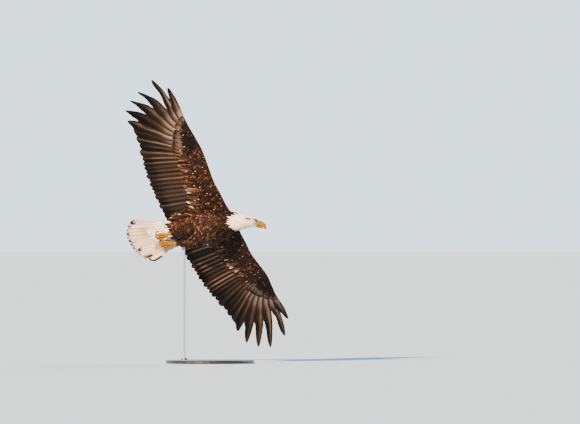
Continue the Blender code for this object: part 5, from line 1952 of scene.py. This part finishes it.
def digit(points, radius, back, bend):
    """Rings and pigment of a toe along a smooth path through these points, and the rings of its claw."""
    path = smooth_path(points, 80)
    rings, tint = toe(path, radius, back)
    heading = (path[-1] - path[-4]) / np.linalg.norm(path[-1] - path[-4])
    claw_path, claw_radius = claw(path[-1], heading, np.array(bend))
    return rings, tint, swept(claw_path, claw_radius, 14, (0, 1, 0), 0.8)


def shank():
    """Rings and pigment of the left shank: plates 4 mm long down its front, and a round lower end."""
    share = np.linspace(0, 1, 70)[:, None]
    turn = full_turn(28)[None]
    at = through(SHANK, share[:, 0])
    front = ramp(-np.sin(turn), 0.1, 0.7)
    plate = plates(share * 0.092, 0.0042)
    swell = (1 - 0.05 * front * (1 - plate)) * round_end(share, 0.9, 0.105, 0.05)
    x = at[:, 0:1] + 0 * turn
    y = at[:, 1:2] + at[:, 3:4] * np.cos(turn) * swell
    z = at[:, 2:3] + at[:, 4:5] * np.sin(turn) * swell
    # dark grooves between the plates, and painted shade at the top, under the thigh feathers
    tint = mix(YELLOW_SKIN, GROOVE_AND_SHADE, 0.8 * front * (1 - plate) + 0.3 * (1 - ramp(share, 0.0, 0.2)))
    return np.stack([x, y, z], 2), tint


print("points in the shank:", shank()[0].shape[:2])

# %% [markdown]
# ## Both feet
# The front toes follow one curl, scaled and splayed for each, and the hind toe has its own. The left
# foot is made first, and its mirror image gives the right one.

# %% Both feet
digits = []
for name, out, height, scale, splay in TOES:
    points = [
        (TOE_START_X - b * scale, FOOT_Y + out * w + splay * o, FOOT_Z + height + r * scale)
        for (b, r), o, w in zip(TOE_CURL, TOE_SPLAY, TOE_SPREAD)
    ]
    digits.append(digit(points, 0.0068, (0, 1, 0), (1.0, 0, 0)))
points = [(HIND_START_X - b, FOOT_Y + 0.001, FOOT_Z + HIND_RISE + r) for b, r in HIND_CURL]
digits.append(digit(points, 0.0056, (0, -1, 0), (0, 0, -1.0)))
toe_rings, toe_tints, claw_rings = (np.array(part) for part in zip(*digits))
claw_tints = mix(CLAW_BROWN, CLAW_BLACK, ramp(np.linspace(0, 1, 26), 0.0, 0.35))[None, :, None]
shank_rings, shank_tint = shank()
toe_names = [row[0] for row in TOES] + ["hind"]
for word, side in SIDES.items():
    mirror = np.array([1, side, 1])
    toe_nodes, claw_nodes = ([f"{kind}_{word}_{name}" for name in toe_names] for kind in ("toe", "claw"))
    for name, rings, tints, material, slot, nodes in (
        ("shank", shank_rings[None], shank_tint[None], FOOT_SKIN, "foot_skin", [f"tarsus_{word}"]),
        ("toes", toe_rings, toe_tints, FOOT_SKIN, "foot_skin", toe_nodes),
        ("claws", claw_rings, claw_tints, CLAW_HORN, "claw_horn", claw_nodes),
    ):
        painted(f"{name}_{word}", rings * mirror, tints, material, slot, nodes)

# %% [markdown]
# ## Stand
# The rod and collar are turned stainless steel, brushed round the axis. The base is a disc of board
# under satin black lacquer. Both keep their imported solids, and only their finish is added.


# %% Stand materials
def brushed_steel():
    """Brushed stainless steel: fine rings round the rod 0.8 mm apart, with a soft gloss."""
    material, tree, shader = new_material("brushed_stainless_steel", 0.32, Metallic=1.0)
    noise = grain(tree, 1.0, (60.0, 60.0, 1250.0), Detail=3.0)
    blend_of(tree, shader, noise, "#9a9b9c", "#d2d3d4")
    rough = remap(tree, noise, 0.2, 0.8, 0.24, 0.42)
    tree.links.new(rough, shader.inputs["Roughness"])
    bump(tree, shader, noise, 0.3, 0.0001)
    return material


def satin_lacquer():
    """Satin lacquer on board: near black, faintly orange-peeled, with a few fine scuffs."""
    material, tree, shader = new_material("satin_lacquered_board", 0.38, Coat_Weight=0.15, Coat_Roughness=0.3)
    peel = grain(tree, 260.0, Detail=2.0)
    scuffs = grain(tree, 1.0, (14.0, 90.0, 40.0), Detail=6.0, Roughness=0.7)
    blend_of(tree, shader, scuffs, "#0f0f10", "#242427")
    rough = remap(tree, scuffs, 0.35, 0.7, 0.32, 0.5)
    tree.links.new(rough, shader.inputs["Roughness"])
    bump(tree, shader, peel, 0.15, 0.0002)
    return material


STEEL, LACQUER = brushed_steel(), satin_lacquer()
for node_name, material in (("stand_base", LACQUER), ("stand_collar", STEEL), ("stand_rod", STEEL)):
    for slot in frame["nodes"][node_name].material_slots:
        slot.material = material
print("stand finished")
